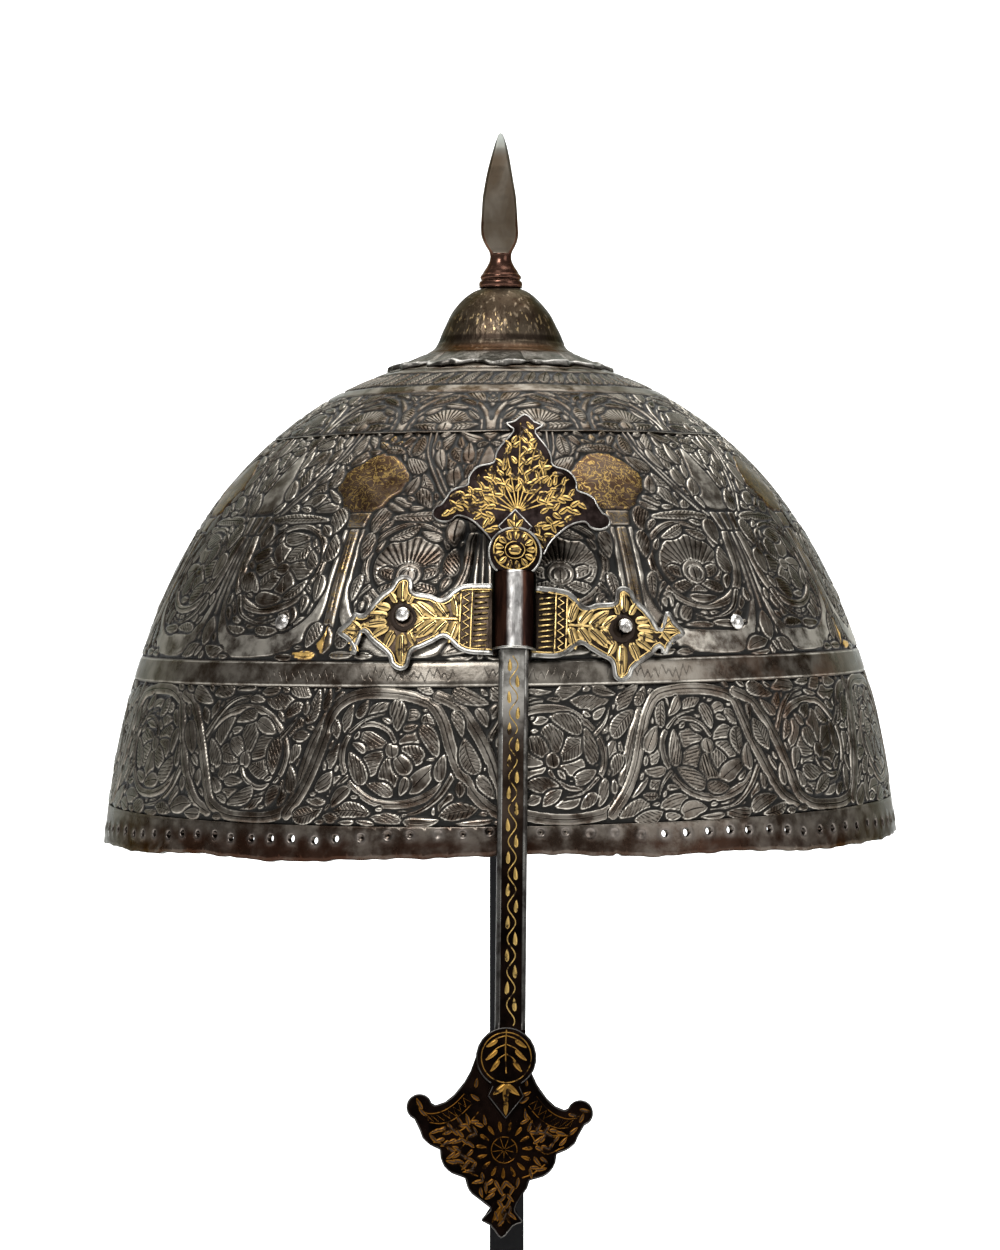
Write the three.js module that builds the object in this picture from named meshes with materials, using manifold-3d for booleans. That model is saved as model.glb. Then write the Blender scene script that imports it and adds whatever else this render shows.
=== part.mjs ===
import * as THREE from 'three';
import { mergeVertices } from 'three/addons/utils/BufferGeometryUtils.js';
import Module from 'manifold-3d';

// A kulah khud: a domed steel helmet with a spike and a sliding nose guard, on a plain display stand.
// Units are millimetres, +Z is up and the front faces -Y. Heights on the helmet count from its rim.

const wasm = await Module();
wasm.setup();

// Driving dimensions
const RIM_LEVEL = 150;
const HELMET_OFFSET_X = -1.6;
const GAP = 0.45;

const BOWL = {
  radius: 109, equator: -98.7, rise: 227.8, exponent: 3.44, wall: 1.6, segments: 64, rows: 10,
};
const RIM_EDGE = { frontLift: 3.4, sideLift: 1.3, wave: 0.45 };
const LACING = { count: 108, radius: 1.05, insetBack: 3.2, insetFront: 5.4, jitterDeg: 0.3, jitterUp: 0.35 };

const CAP = {
  lobes: 12, tipRadius: 30.4, notchRadius: 26.6,
  profile: [
    { r: 5.4, z: 146.2 }, { r: 10.1, z: 143.6 }, { r: 13.3, z: 139.5 }, { r: 15.6, z: 135.2 },
    { r: 17, z: 131.4 }, { r: 23.4, z: 128 }, { r: 31, z: 125 },
  ],
  hollow: [{ r: 31, z: 124 }, { r: 15.8, z: 130.6 }, { r: 9.4, z: 142 }, { r: 0, z: 144.8 }],
};
const SPIKE = {
  base: 146.6, tip: 188.4, sides: 20, bladeWidth: 10.2, bladeDepth: 8,
  profile: [
    { r: 5.5, z: 146.6 }, { r: 5.8, z: 147.7 }, { r: 5.5, z: 148.8 }, { r: 5.0, z: 149 },
    { r: 5.4, z: 149.6 }, { r: 5.1, z: 150.4 }, { r: 3.9, z: 152 }, { r: 2.8, z: 154.4 },
    { r: 3.2, z: 156.4 }, { r: 4.5, z: 158.6 }, { r: 5.2, z: 162.2 }, { r: 5.0, z: 166.5 },
    { r: 4.6, z: 170.8 }, { r: 3.3, z: 177.7 }, { r: 2.1, z: 182.6 }, { r: 1.05, z: 185.9 },
  ],
  flats: [
    { reach: 0, z: 145 }, { reach: 1.6, z: 145 }, { reach: 1.05, z: 155 }, { reach: 1, z: 163 },
    { reach: 0.9, z: 171 }, { reach: 0.66, z: 178.5 }, { reach: 0.4, z: 184 }, { reach: 0, z: 188.5 },
  ],
};

const FRONT_TURN = 1.9;
const GUIDE = {
  height: 60.9, lean: -3, plate: 1.3, loopLean: -0.8, loopWidth: 10.4, loopLength: 18.8, loopTop: 4.8,
  rivetX: 26.1, rivetZ: -2.6, rivetHead: 2.1, rivetShank: 1, rivetHole: 1.4, tipFrom: 36.5, tipSway: 2,
  wing: [
    [5, 6.6], [10.4, 6.3], [12.9, 5.8], [14.9, 4.4], [16.2, 3], [17.8, 2.4], [20, 3.2], [23.6, 3.6],
    [24.3, 4.4], [24.4, 6.2], [25.4, 7.4], [27, 7.5], [28.6, 6.5], [29.8, 4.4], [32, 2.6], [34.2, -0.1],
    [35.6, -2], [36.8, -0.3], [38, -0.1], [39.4, -2], [41.9, -5], [39.4, -6.9], [38.2, -8.5],
    [37.6, -9.9], [36.2, -8.3], [35.6, -6.7], [33.7, -8.6], [31.4, -10.3], [29.5, -11.9],
    [28.8, -13.7], [27.4, -14.9], [25.8, -15.1], [24.4, -13.9], [23.6, -10.7], [21.4, -9.5],
    [18.8, -8.1], [16.6, -6.8], [15, -7.6], [12.8, -9.4], [10, -10.3], [4.6, -10.3],
  ],
};
const SIDE_RIVETS = { left: -35, right: 38.4, height: 58.2, head: 2.3, shank: 1.2, hole: 1.6 };

const BAR = { lean: 12.5, faceAtRim: 108.2, sideLean: -1, width: 7.1, thick: 2.8, chamfer: 1.1, play: 0.35 };
const MEDALLION = {
  upperAt: 14.1, upperRadius: 6.5, upperStop: 9.8, lowerAt: -105.2, lowerRadius: 7, lowerShift: -0.9,
  shoulder: 4.2, shoulderAt: 8.8, waist: 3.2, waistAt: 5, tipAt: 14.2,
};
const PALMETTE = {
  thick: 1.8, bendRadius: 90, upperShift: 1.2, upperLean: -2, lowerShift: -1.9, lowerLean: -1.5,
  lowerTipShift: 1.4, tipFrom: 33,
  shoulders: [[6, 0], [7.1, 3.4], [8.4, 5.9], [10.7, 8.9], [12.7, 10.6], [14.8, 11.4]],
  knob: { u: 18.5, v: 12, radius: 3, from: 200, to: 430, step: 23 },
  flank: [
    [18.2, 17.3], [17.5, 19], [15.7, 20.5], [13.4, 21.5], [13.2, 23.3], [12.3, 25.2], [10.5, 26.7],
    [7.4, 27.7], [6.9, 29.4], [5.8, 31.1], [2.9, 34.1], [3.8, 35.6], [4.7, 37.1], [2.6, 38.1],
  ],
  tipAt: 40.9,
  upperReach: [[0, 0], [12, 9], [14.2, 11.05], [21.5, 17.1], [27.7, 23.6], [34.1, 32.8], [40.9, 38.5]],
};

const STAND = { footSide: 140, footThick: 8, postSide: 9.1, padRadius: 30, padThick: 6 };

// Materials
const steel = new THREE.MeshStandardMaterial({ color: 0x5c544e, roughness: 0.45, metalness: 0.9 });
const capSteel = new THREE.MeshStandardMaterial({ color: 0x4e4238, roughness: 0.5, metalness: 0.9 });
const spikeSteel = new THREE.MeshStandardMaterial({ color: 0x5a4a42, roughness: 0.35, metalness: 0.9 });
const gildedSteel = new THREE.MeshStandardMaterial({ color: 0xb08a45, roughness: 0.4, metalness: 0.9 });
const nasalSteel = new THREE.MeshStandardMaterial({ color: 0x4a3f36, roughness: 0.4, metalness: 0.9 });
const rivetSteel = new THREE.MeshStandardMaterial({ color: 0x8a8680, roughness: 0.35, metalness: 0.9 });
const blackPaint = new THREE.MeshStandardMaterial({ color: 0x0c0c0d, roughness: 0.5, metalness: 0.2 });

// Small tools
const radians = THREE.MathUtils.degToRad;
const section = (points) => new THREE.Shape(points.map(([x, y]) => new THREE.Vector2(x, y)));
const mirrored = (points) => [...points, ...points.map(([x, y]) => [-x, y]).reverse()];

function enclosedVolume(position, triangles) {
  const [a, b, c] = [new THREE.Vector3(), new THREE.Vector3(), new THREE.Vector3()];
  let sum = 0;
  for (let i = 0; i < triangles.length; i += 3) {
    a.fromBufferAttribute(position, triangles[i]);
    b.fromBufferAttribute(position, triangles[i + 1]);
    c.fromBufferAttribute(position, triangles[i + 2]);
    sum += a.dot(b.cross(c));
  }
  return sum;
}

// Turns a closed geometry into a solid, with shared corners and its faces pointing out
function solid(geometry) {
  const bare = geometry.clone();
  bare.deleteAttribute('normal');
  bare.deleteAttribute('uv');
  const merged = mergeVertices(bare, 1e-4);
  const triangles = [];
  for (let i = 0; i < merged.index.count; i += 3) {
    const corners = [0, 1, 2].map((k) => merged.index.getX(i + k));
    if (new Set(corners).size === 3) triangles.push(...corners);
  }
  if (enclosedVolume(merged.attributes.position, triangles) < 0) triangles.reverse();
  return new wasm.Manifold(new wasm.Mesh({
    numProp: 3,
    vertProperties: new Float32Array(merged.attributes.position.array),
    triVerts: new Uint32Array(triangles),
  }));
}

function namedMesh(name, body, material) {
  const { vertProperties, triVerts } = body.getMesh();
  const geometry = new THREE.BufferGeometry();
  geometry.setAttribute('position', new THREE.BufferAttribute(vertProperties, 3));
  geometry.setIndex(new THREE.BufferAttribute(triVerts, 1));
  geometry.computeVertexNormals();
  const mesh = new THREE.Mesh(geometry, material);
  mesh.name = name;
  return mesh;
}

// A profile of radii and heights turned about +Z, seam at the front
function turned(points, segments) {
  const profile = points.map(({ r, z }) => new THREE.Vector2(r, z));
  return new THREE.LatheGeometry(profile, segments).rotateX(Math.PI / 2);
}

function extruded(shape, depth) {
  return new THREE.ExtrudeGeometry(shape, { depth, bevelEnabled: false, curveSegments: 12 });
}

// Shape of the bowl: a point of its profile, and the same point moved out along the normal
function bowlPoint(angle, offset = 0) {
  const fall = 2 / BOWL.exponent;
  const r = BOWL.radius * Math.sin(angle);
  const z = BOWL.equator + BOWL.rise * Math.cos(angle) ** fall;
  const alongR = BOWL.radius * Math.cos(angle);
  const alongZ = -BOWL.rise * fall * Math.cos(angle) ** (fall - 1) * Math.sin(angle);
  const length = Math.hypot(alongR, alongZ);
  return { r: r - (offset * alongZ) / length, z: z + (offset * alongR) / length };
}

function bowlAngle(z) {
  return Math.acos(((z - BOWL.equator) / BOWL.rise) ** (BOWL.exponent / 2));
}

function bowlRadius(z) {
  return bowlPoint(bowlAngle(z)).r;
}

function bowlProfile(offset) {
  const last = bowlAngle(0);
  return Array.from({ length: BOWL.rows + 1 }, (_, i) => bowlPoint((last * i) / BOWL.rows, offset));
}

// A full dome, its surface standing off the bowl, to cut other pieces with
function domeCutter(offset) {
  const profile = bowlProfile(offset);
  return solid(turned([...profile, { r: 0, z: profile.at(-1).z }], 96));
}

// Place and direction on the outside of the bowl, +Z along the normal
function onBowl(azimuth, z, offset = 0) {
  const angle = bowlAngle(z);
  const foot = bowlPoint(angle, offset);
  const out = bowlPoint(angle, offset + 1);
  const turn = new THREE.Matrix4().makeRotationZ(radians(azimuth));
  const normal = new THREE.Vector3(0, foot.r - out.r, out.z - foot.z);
  const across = new THREE.Vector3(1, 0, 0);
  const up = new THREE.Vector3().crossVectors(normal, across);
  const frame = new THREE.Matrix4().makeBasis(across, up, normal).setPosition(0, -foot.r, foot.z);
  return turn.multiply(frame);
}

const repeatable = (i, salt) => {
  const wave = Math.sin(i * 12.9898 + salt * 78.233) * 43758.5453;
  return 2 * (wave - Math.floor(wave)) - 1;
};

// The worn lower edge: lifted over the brow, a little higher on the right, and wavy
function edgeHeight(azimuth) {
  const a = radians(azimuth);
  const front = ((1 + Math.cos(a)) / 2) ** 2;
  const wave = Math.sin(5 * a + 1) + 0.7 * Math.sin(9 * a + 2) + 0.6 * Math.sin(14 * a);
  const lift = (RIM_EDGE.frontLift * (front - 0.25)) / 0.75;
  return lift + RIM_EDGE.sideLift * Math.sin(a) + RIM_EDGE.wave * wave;
}

// Skull

function skullShell() {
  const outside = bowlProfile(0);
  const inside = bowlProfile(-BOWL.wall).reverse();
  const geometry = turned([...outside, ...inside], BOWL.segments);
  const position = geometry.attributes.position;
  for (let i = 0; i < position.count; i += 1) {
    const [x, y, z] = [position.getX(i), position.getY(i), position.getZ(i)];
    const onRim = z < 1;
    if (onRim) {
      const lift = edgeHeight(THREE.MathUtils.radToDeg(Math.atan2(x, -y)));
      const grow = 1 + (bowlRadius(lift) - bowlRadius(0)) / Math.hypot(x, y);
      position.setXYZ(i, x * grow, y * grow, z + lift);
    }
  }
  return solid(geometry);
}

function borer(radius, frame) {
  const pin = new THREE.CylinderGeometry(radius, radius, 12, 5).rotateX(Math.PI / 2);
  return solid(pin.applyMatrix4(frame));
}

function lacingHole(i) {
  const azimuth = (360 * (i + 0.5)) / LACING.count + LACING.jitterDeg * repeatable(i, 1);
  const front = ((1 + Math.cos(radians(azimuth))) / 2) ** 2;
  const inset = LACING.insetBack + (LACING.insetFront - LACING.insetBack) * front;
  return onBowl(azimuth, edgeHeight(azimuth) + inset + LACING.jitterUp * repeatable(i, 2));
}

const guideRivetFrames = {
  left: onBowl(FRONT_TURN - guideRivetAzimuth(), guideRivetHeight(-1), GAP + GUIDE.plate),
  right: onBowl(FRONT_TURN + guideRivetAzimuth(), guideRivetHeight(1), GAP + GUIDE.plate),
};
const sideRivetFrames = {
  left: onBowl(SIDE_RIVETS.left, SIDE_RIVETS.height),
  right: onBowl(SIDE_RIVETS.right, SIDE_RIVETS.height),
};

function guideRivetAzimuth() {
  return THREE.MathUtils.radToDeg(Math.asin(GUIDE.rivetX / bowlRadius(GUIDE.height + GUIDE.rivetZ)));
}

function guideRivetHeight(side) {
  return GUIDE.height + GUIDE.rivetZ + side * GUIDE.rivetX * Math.sin(radians(GUIDE.lean));
}

function skull() {
  let body = skullShell();
  for (let i = 0; i < LACING.count; i += 1) body = body.subtract(borer(LACING.radius, lacingHole(i)));
  for (const frame of Object.values(guideRivetFrames)) body = body.subtract(borer(GUIDE.rivetHole, frame));
  for (const frame of Object.values(sideRivetFrames)) body = body.subtract(borer(SIDE_RIVETS.hole, frame));
  return namedMesh('skull', body, steel);
}

// Rivets: a low dome on a shank that goes through the wall
function rivet(name, head, shank, grip, frame) {
  const points = [
    { r: 0, z: -grip }, { r: shank, z: -grip }, { r: shank, z: 0.3 }, { r: head, z: 0.3 },
    { r: head * 0.75, z: 1.2 }, { r: 0, z: 1.8 },
  ];
  const mesh = namedMesh(name, solid(turned(points, 10)), rivetSteel);
  mesh.applyMatrix4(frame);
  return mesh;
}

// Finial cap: a thin domed boss whose flange is cut to pointed lobes
function finialCap() {
  const crown = { r: 0, z: CAP.profile[0].z };
  const shell = solid(turned([crown, ...CAP.profile, ...CAP.hollow], CAP.lobes * 4));
  const outline = Array.from({ length: CAP.lobes * 4 }, (_, i) => {
    const beat = Math.abs(Math.cos((Math.PI * i) / 4)) ** 0.8;
    const reach = CAP.notchRadius + (CAP.tipRadius - CAP.notchRadius) * beat;
    const a = (2 * Math.PI * i) / (CAP.lobes * 4);
    return [reach * Math.sin(a), -reach * Math.cos(a)];
  });
  const lobes = solid(extruded(section(outline), 40).translate(0, 0, 110));
  return namedMesh('finial_cap', shell.intersect(lobes).subtract(domeCutter(GAP)), capSteel);
}

// Spike: turned collar, neck and bulb, the blade above cut to four flats
function spike() {
  const ends = [{ r: 0, z: SPIKE.base }, ...SPIKE.profile, { r: 0, z: SPIKE.tip }];
  const body = solid(turned(ends, SPIKE.sides));
  const flats = SPIKE.flats.map(({ reach, z }) => ({ r: reach / Math.SQRT1_2, z }));
  const ogive = turned(flats, 4).rotateZ(Math.PI / 4).scale(SPIKE.bladeWidth / 2, SPIKE.bladeDepth / 2, 1);
  return namedMesh('spike', body.intersect(solid(ogive)), spikeSteel);
}

// The slide: x across, y up along the bar, z out from the bar's back face
const slideFrame = new THREE.Matrix4()
  .makeRotationX(radians(90 - BAR.lean))
  .setPosition(0, GUIDE.height * Math.tan(radians(BAR.lean)) - BAR.faceAtRim, GUIDE.height);

// A section of x and outward distance, run along the bar between two places
function alongBar(points, from, to) {
  const shape = section(points.map(([x, out]) => [x, -out]));
  return extruded(shape, to - from).rotateX(-Math.PI / 2).translate(0, from, 0);
}

function barSection(play) {
  const [half, face] = [BAR.width / 2 + play, BAR.thick + play];
  return mirrored([[half, -play], [half, face - BAR.chamfer], [half - BAR.chamfer, face]]);
}

// Outline of both wings; their leaf tips droop on the left and rise on the right
function wingsOutline() {
  return mirrored(GUIDE.wing).map(([x, y]) => {
    const sway = Math.abs(x) > GUIDE.tipFrom ? GUIDE.tipSway * Math.sign(x) : 0;
    return [x, y + sway];
  });
}

// Nasal bracket: the winged plate that hugs the bowl, with the half-round guide loop
function nasalBracket() {
  const lean = radians(GUIDE.lean);
  const wings = extruded(section(wingsOutline()), 60).rotateZ(lean).rotateX(Math.PI / 2);
  const plate = domeCutter(GAP + GUIDE.plate).intersect(solid(wings.translate(0, -60, GUIDE.height)));
  const [half, steps] = [GUIDE.loopWidth / 2, 12];
  const arch = Array.from({ length: steps + 1 }, (_, i) => {
    const a = (Math.PI * i) / steps;
    return [half * Math.cos(a), GUIDE.loopTop - half + half * Math.sin(a)];
  });
  const [foot, head] = [-GUIDE.loopLength / 2, GUIDE.loopLength / 2];
  const loop = alongBar([[half, -9], ...arch, [-half, -9]], foot, head);
  loop.rotateZ(radians(GUIDE.loopLean));
  const channel = alongBar(barSection(BAR.play), 2 * foot, 2 * head).rotateZ(radians(BAR.sideLean));
  let body = plate.add(solid(loop.applyMatrix4(slideFrame)));
  body = body.subtract(domeCutter(GAP)).subtract(solid(channel.applyMatrix4(slideFrame)));
  const unturn = new THREE.Matrix4().makeRotationZ(radians(-FRONT_TURN));
  for (const frame of Object.values(guideRivetFrames)) {
    body = body.subtract(borer(GUIDE.rivetHole, unturn.clone().multiply(frame)));
  }
  return namedMesh('nasal_bracket', body, gildedSteel);
}

// Outline of a palmette from its roundel's centre, v counted towards the tip, which may lean aside
function palmetteOutline(tipShift = 0) {
  const { u, v, radius, from, to, step } = PALMETTE.knob;
  const knob = [];
  for (let a = from; a <= to; a += step) {
    knob.push([u + radius * Math.cos(radians(a)), v + radius * Math.sin(radians(a))]);
  }
  const half = [...PALMETTE.shoulders, ...knob, ...PALMETTE.flank];
  const whole = [...half, [0, PALMETTE.tipAt], ...half.map(([x, y]) => [-x, y]).reverse()];
  return whole.map(([x, y]) => [y > PALMETTE.tipFrom ? x - tipShift : x, y]);
}

function medallionOutline(radius) {
  const round = Array.from({ length: 24 }, (_, i) => {
    const a = (2 * Math.PI * (i + 0.5)) / 24;
    return [radius * Math.cos(a), radius * Math.sin(a)];
  });
  const { shoulder, shoulderAt, waist, waistAt, tipAt } = MEDALLION;
  const drop = [[waist, 0], [waist, waistAt], [shoulder, shoulderAt], [0, tipAt],
    [-shoulder, shoulderAt], [-waist, waistAt], [-waist, 0]];
  return { round, drop };
}

// A band of the given thickness that runs on from the bar and bends back over the brow
function bentBand(thick) {
  const [steps, turn, start] = [8, 0.56, MEDALLION.upperStop];
  const edge = (radius) => Array.from({ length: steps + 1 }, (_, i) => {
    const a = (turn * i) / steps;
    return [start + radius * Math.sin(a), radius * Math.cos(a) - PALMETTE.bendRadius];
  });
  const points = [...edge(PALMETTE.bendRadius + thick), ...edge(PALMETTE.bendRadius).reverse()];
  const shape = section(points);
  const band = extruded(shape, 60).translate(0, 0, -30);
  return solid(band.applyMatrix4(new THREE.Matrix4().makeBasis(
    new THREE.Vector3(0, 1, 0), new THREE.Vector3(0, 0, 1), new THREE.Vector3(1, 0, 0),
  )));
}

// The upper palmette is squatter than the lower one: drawn lengths turned to built ones
function squat(points) {
  const table = PALMETTE.upperReach;
  return points.map(([x, y]) => {
    if (y <= 0) return [x, y];
    const i = Math.max(1, table.findIndex(([drawn]) => y <= drawn));
    const [[a, p], [b, q]] = [table[i - 1], table[i]];
    return [x, p + ((q - p) * (y - a)) / (b - a)];
  });
}

// Outline in the slide's plane, its arc length eased for the bend
function eased(points) {
  const bend = PALMETTE.bendRadius;
  return points.map(([x, y]) => [x, y > 0 ? bend * Math.sin(y / bend) : y]);
}

function nasal() {
  const { upperAt, lowerAt, upperStop, upperRadius, lowerRadius } = MEDALLION;
  let body = solid(alongBar(barSection(0), lowerAt, upperStop + 2));

  const lowerPlate = extruded(section(palmetteOutline(PALMETTE.lowerTipShift)), PALMETTE.thick);
  lowerPlate.translate(-PALMETTE.lowerShift, 0, 0).rotateZ(radians(180 + PALMETTE.lowerLean));
  body = body.add(solid(lowerPlate.translate(0, lowerAt, 0)));
  const lower = medallionOutline(lowerRadius);
  for (const outline of [lower.round, lower.drop]) {
    const raised = extruded(section(outline), BAR.thick).rotateZ(Math.PI);
    raised.translate(MEDALLION.lowerShift, lowerAt, 0);
    body = body.add(solid(raised));
  }

  const deep = 80;
  const prism = (outline, lean, shift) => solid(extruded(section(eased(outline)), deep)
    .translate(shift, 0, 0).rotateZ(radians(lean)).translate(0, upperAt, -deep / 2));
  const plateBand = bentBand(PALMETTE.thick);
  const raisedBand = bentBand(BAR.thick);
  const leaf = squat(palmetteOutline());
  body = body.add(plateBand.intersect(prism(leaf, PALMETTE.upperLean, PALMETTE.upperShift)));
  const upper = medallionOutline(upperRadius);
  for (const outline of [upper.round, squat(upper.drop)]) {
    body = body.add(raisedBand.intersect(prism(outline, 0, 0)));
  }
  return namedMesh('nasal', body, nasalSteel);
}

// Stand: foot plate, post and the pad inside the crown that carries the helmet
function stand() {
  const { footSide, footThick, postSide, padRadius, padThick } = STAND;
  const under = bowlPoint(Math.asin(padRadius / BOWL.radius), -BOWL.wall);
  const padTop = RIM_LEVEL + under.z - GAP;
  const foot = new THREE.BoxGeometry(footSide, footSide, footThick).translate(0, 0, footThick / 2);
  const postHeight = padTop - footThick;
  const post = new THREE.BoxGeometry(postSide, postSide, postHeight);
  post.translate(0, 0, footThick + postHeight / 2);
  const pad = turned([
    { r: 0, z: padTop - padThick }, { r: padRadius - 4, z: padTop - padThick },
    { r: under.r, z: padTop - 2 }, { r: under.r, z: padTop }, { r: 0, z: padTop },
  ], 32).translate(HELMET_OFFSET_X, 0, 0);
  return namedMesh('stand', solid(foot).add(solid(post)).add(solid(pad)), blackPaint);
}

// Assembly
const slide = new THREE.Group();
slide.applyMatrix4(slideFrame);
const nasalMesh = nasal();
nasalMesh.rotation.z = radians(BAR.sideLean);
slide.add(nasalMesh);

const front = new THREE.Group();
front.rotation.z = radians(FRONT_TURN);
front.add(nasalBracket(), slide);

const helmet = new THREE.Group();
helmet.position.set(HELMET_OFFSET_X, 0, RIM_LEVEL);
const guideGrip = GAP + GUIDE.plate + BOWL.wall;
for (const [side, frame] of Object.entries(guideRivetFrames)) {
  helmet.add(rivet(`bracket_rivet_${side}`, GUIDE.rivetHead, GUIDE.rivetShank, guideGrip, frame));
}
for (const [side, frame] of Object.entries(sideRivetFrames)) {
  helmet.add(rivet(`side_rivet_${side}`, SIDE_RIVETS.head, SIDE_RIVETS.shank, BOWL.wall, frame));
}
helmet.add(skull(), finialCap(), spike(), front);

const part = new THREE.Group();
part.add(stand(), helmet);

export default part;
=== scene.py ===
import math

import bpy
import numpy as np
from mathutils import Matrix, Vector


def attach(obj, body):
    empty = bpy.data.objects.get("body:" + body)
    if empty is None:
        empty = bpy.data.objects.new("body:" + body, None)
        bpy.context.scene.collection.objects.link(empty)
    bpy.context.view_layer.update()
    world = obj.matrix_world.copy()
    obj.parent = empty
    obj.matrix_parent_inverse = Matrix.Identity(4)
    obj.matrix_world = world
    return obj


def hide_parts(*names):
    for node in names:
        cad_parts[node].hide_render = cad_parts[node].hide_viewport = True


# A kulah khud helmet on its display stand. Lengths are millimetres until a mesh is made.
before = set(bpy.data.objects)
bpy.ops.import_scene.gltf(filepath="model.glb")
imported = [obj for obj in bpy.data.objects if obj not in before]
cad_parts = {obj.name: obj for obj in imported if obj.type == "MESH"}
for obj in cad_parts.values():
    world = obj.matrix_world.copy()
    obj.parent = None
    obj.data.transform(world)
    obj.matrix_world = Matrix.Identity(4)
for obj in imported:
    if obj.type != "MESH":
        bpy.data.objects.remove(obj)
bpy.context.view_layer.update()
MM = 0.001

# The bowl, as the solids have it: heights count from the rim, azimuth from the front to the right
RIM_LEVEL = 150.0
HELMET_X = -1.6
RADIUS = 109.0
EQUATOR = -98.7
RISE = 227.8
EXPONENT = 3.44
WALL = 1.6
FRONT_TURN = 1.9
EDGE_FRONT_LIFT = 3.4
EDGE_SIDE_LIFT = 1.3
EDGE_WAVE = 0.45
HOLES = 108
HOLE_RADIUS = 1.05
HOLE_INSET_BACK = 3.2
HOLE_INSET_FRONT = 5.4
HOLE_JITTER_DEGREES = 0.3
HOLE_JITTER_UP = 0.35
HOLE_SHRINK = 0.8

# Bands of the decoration, by arc length up from the rim
FRIEZE = (10.8, 44.2)
SCRIPT = (44.2, 50.8)
FIELD = (50.8, 117.5)
ARCHES = (117.5, 136.0)
LEAVES = (140.5, 149.0)
CROWN_TOP = 152.0
UNDER_CAP = 183.0
TILT = 0.0122

# Carving
GROUND = -0.62
PITCH = 0.16
COARSE = 0.5


def smooth(t):
    t = np.clip(t, 0.0, 1.0)
    return t * t * (3.0 - 2.0 * t)


# Bowl surface

def bowl_table():
    """Arc length from the rim, radius, height and outward normal, finely spaced up the profile."""
    start = math.acos(((-6.0 - EQUATOR) / RISE) ** (EXPONENT / 2))
    angle = np.linspace(start, 0.0, 6000)
    fall = 2 / EXPONENT
    r = RADIUS * np.sin(angle)
    z = EQUATOR + RISE * np.cos(angle) ** fall
    along_r = RADIUS * np.cos(angle)
    along_z = -RISE * fall * np.cos(angle) ** (fall - 1) * np.sin(angle)
    length = np.hypot(along_r, along_z)
    arc = np.concatenate([[0], np.cumsum(np.hypot(np.diff(r), np.diff(z)))])
    arc -= np.interp(0.0, z, arc)
    return arc, r, z, -along_z / length, along_r / length


ARC, ARC_R, ARC_Z, NORMAL_R, NORMAL_Z = bowl_table()


def arc_of_height(z):
    return np.interp(z, ARC_Z, ARC)


def radius_at(arc):
    return np.interp(arc, ARC, ARC_R)


def height_at(r):
    """Height of the bowl's surface at a radius."""
    return np.interp(np.interp(r, ARC_R[::-1], ARC[::-1]), ARC, ARC_Z)


def on_bowl(azimuth, arc, out):
    """Places in metres for azimuths in degrees, arc lengths and distances off the surface."""
    r = np.interp(arc, ARC, ARC_R) + out * np.interp(arc, ARC, NORMAL_R)
    z = np.interp(arc, ARC, ARC_Z) + out * np.interp(arc, ARC, NORMAL_Z)
    a = np.radians(azimuth)
    return np.stack([HELMET_X + r * np.sin(a), -r * np.cos(a), RIM_LEVEL + z], axis=-1) * MM


def tilted(azimuth, arc):
    """The decoration sits a little higher on the right."""
    return arc + TILT * radius_at(arc) * np.sin(np.radians(azimuth))


def front_share(azimuth):
    """1 at the front, falling to 0 at the back."""
    return ((1 + np.cos(np.radians(azimuth))) / 2) ** 2


def edge_height(azimuth):
    """How far the worn edge lies above the rim's level."""
    a = np.radians(azimuth)
    wave = np.sin(5 * a + 1) + 0.7 * np.sin(9 * a + 2) + 0.6 * np.sin(14 * a)
    lift = EDGE_FRONT_LIFT * (front_share(azimuth) - 0.25) / 0.75
    return lift + EDGE_SIDE_LIFT * np.sin(a) + EDGE_WAVE * wave


def repeatable(i, salt):
    """A draw from -1 to 1 that is always the same for a number."""
    wave = np.sin(i * 12.9898 + salt * 78.233) * 43758.5453
    return 2 * (wave - np.floor(wave)) - 1


def hammering(azimuth, arc):
    """Faint dents and swells left by the hammer."""
    a = np.radians(azimuth)
    swell = np.sin(7 * a + arc * 0.05) + np.sin(11 * a - arc * 0.11 + 2) + 0.8 * np.sin(19 * a + arc * 0.17)
    dents = np.sin(31 * a + 3 * np.sin(arc * 0.13)) * np.sin(arc * 0.29 + 2 * np.sin(9 * a))
    return 0.05 * swell + 0.04 * dents


# Meshes

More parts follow.
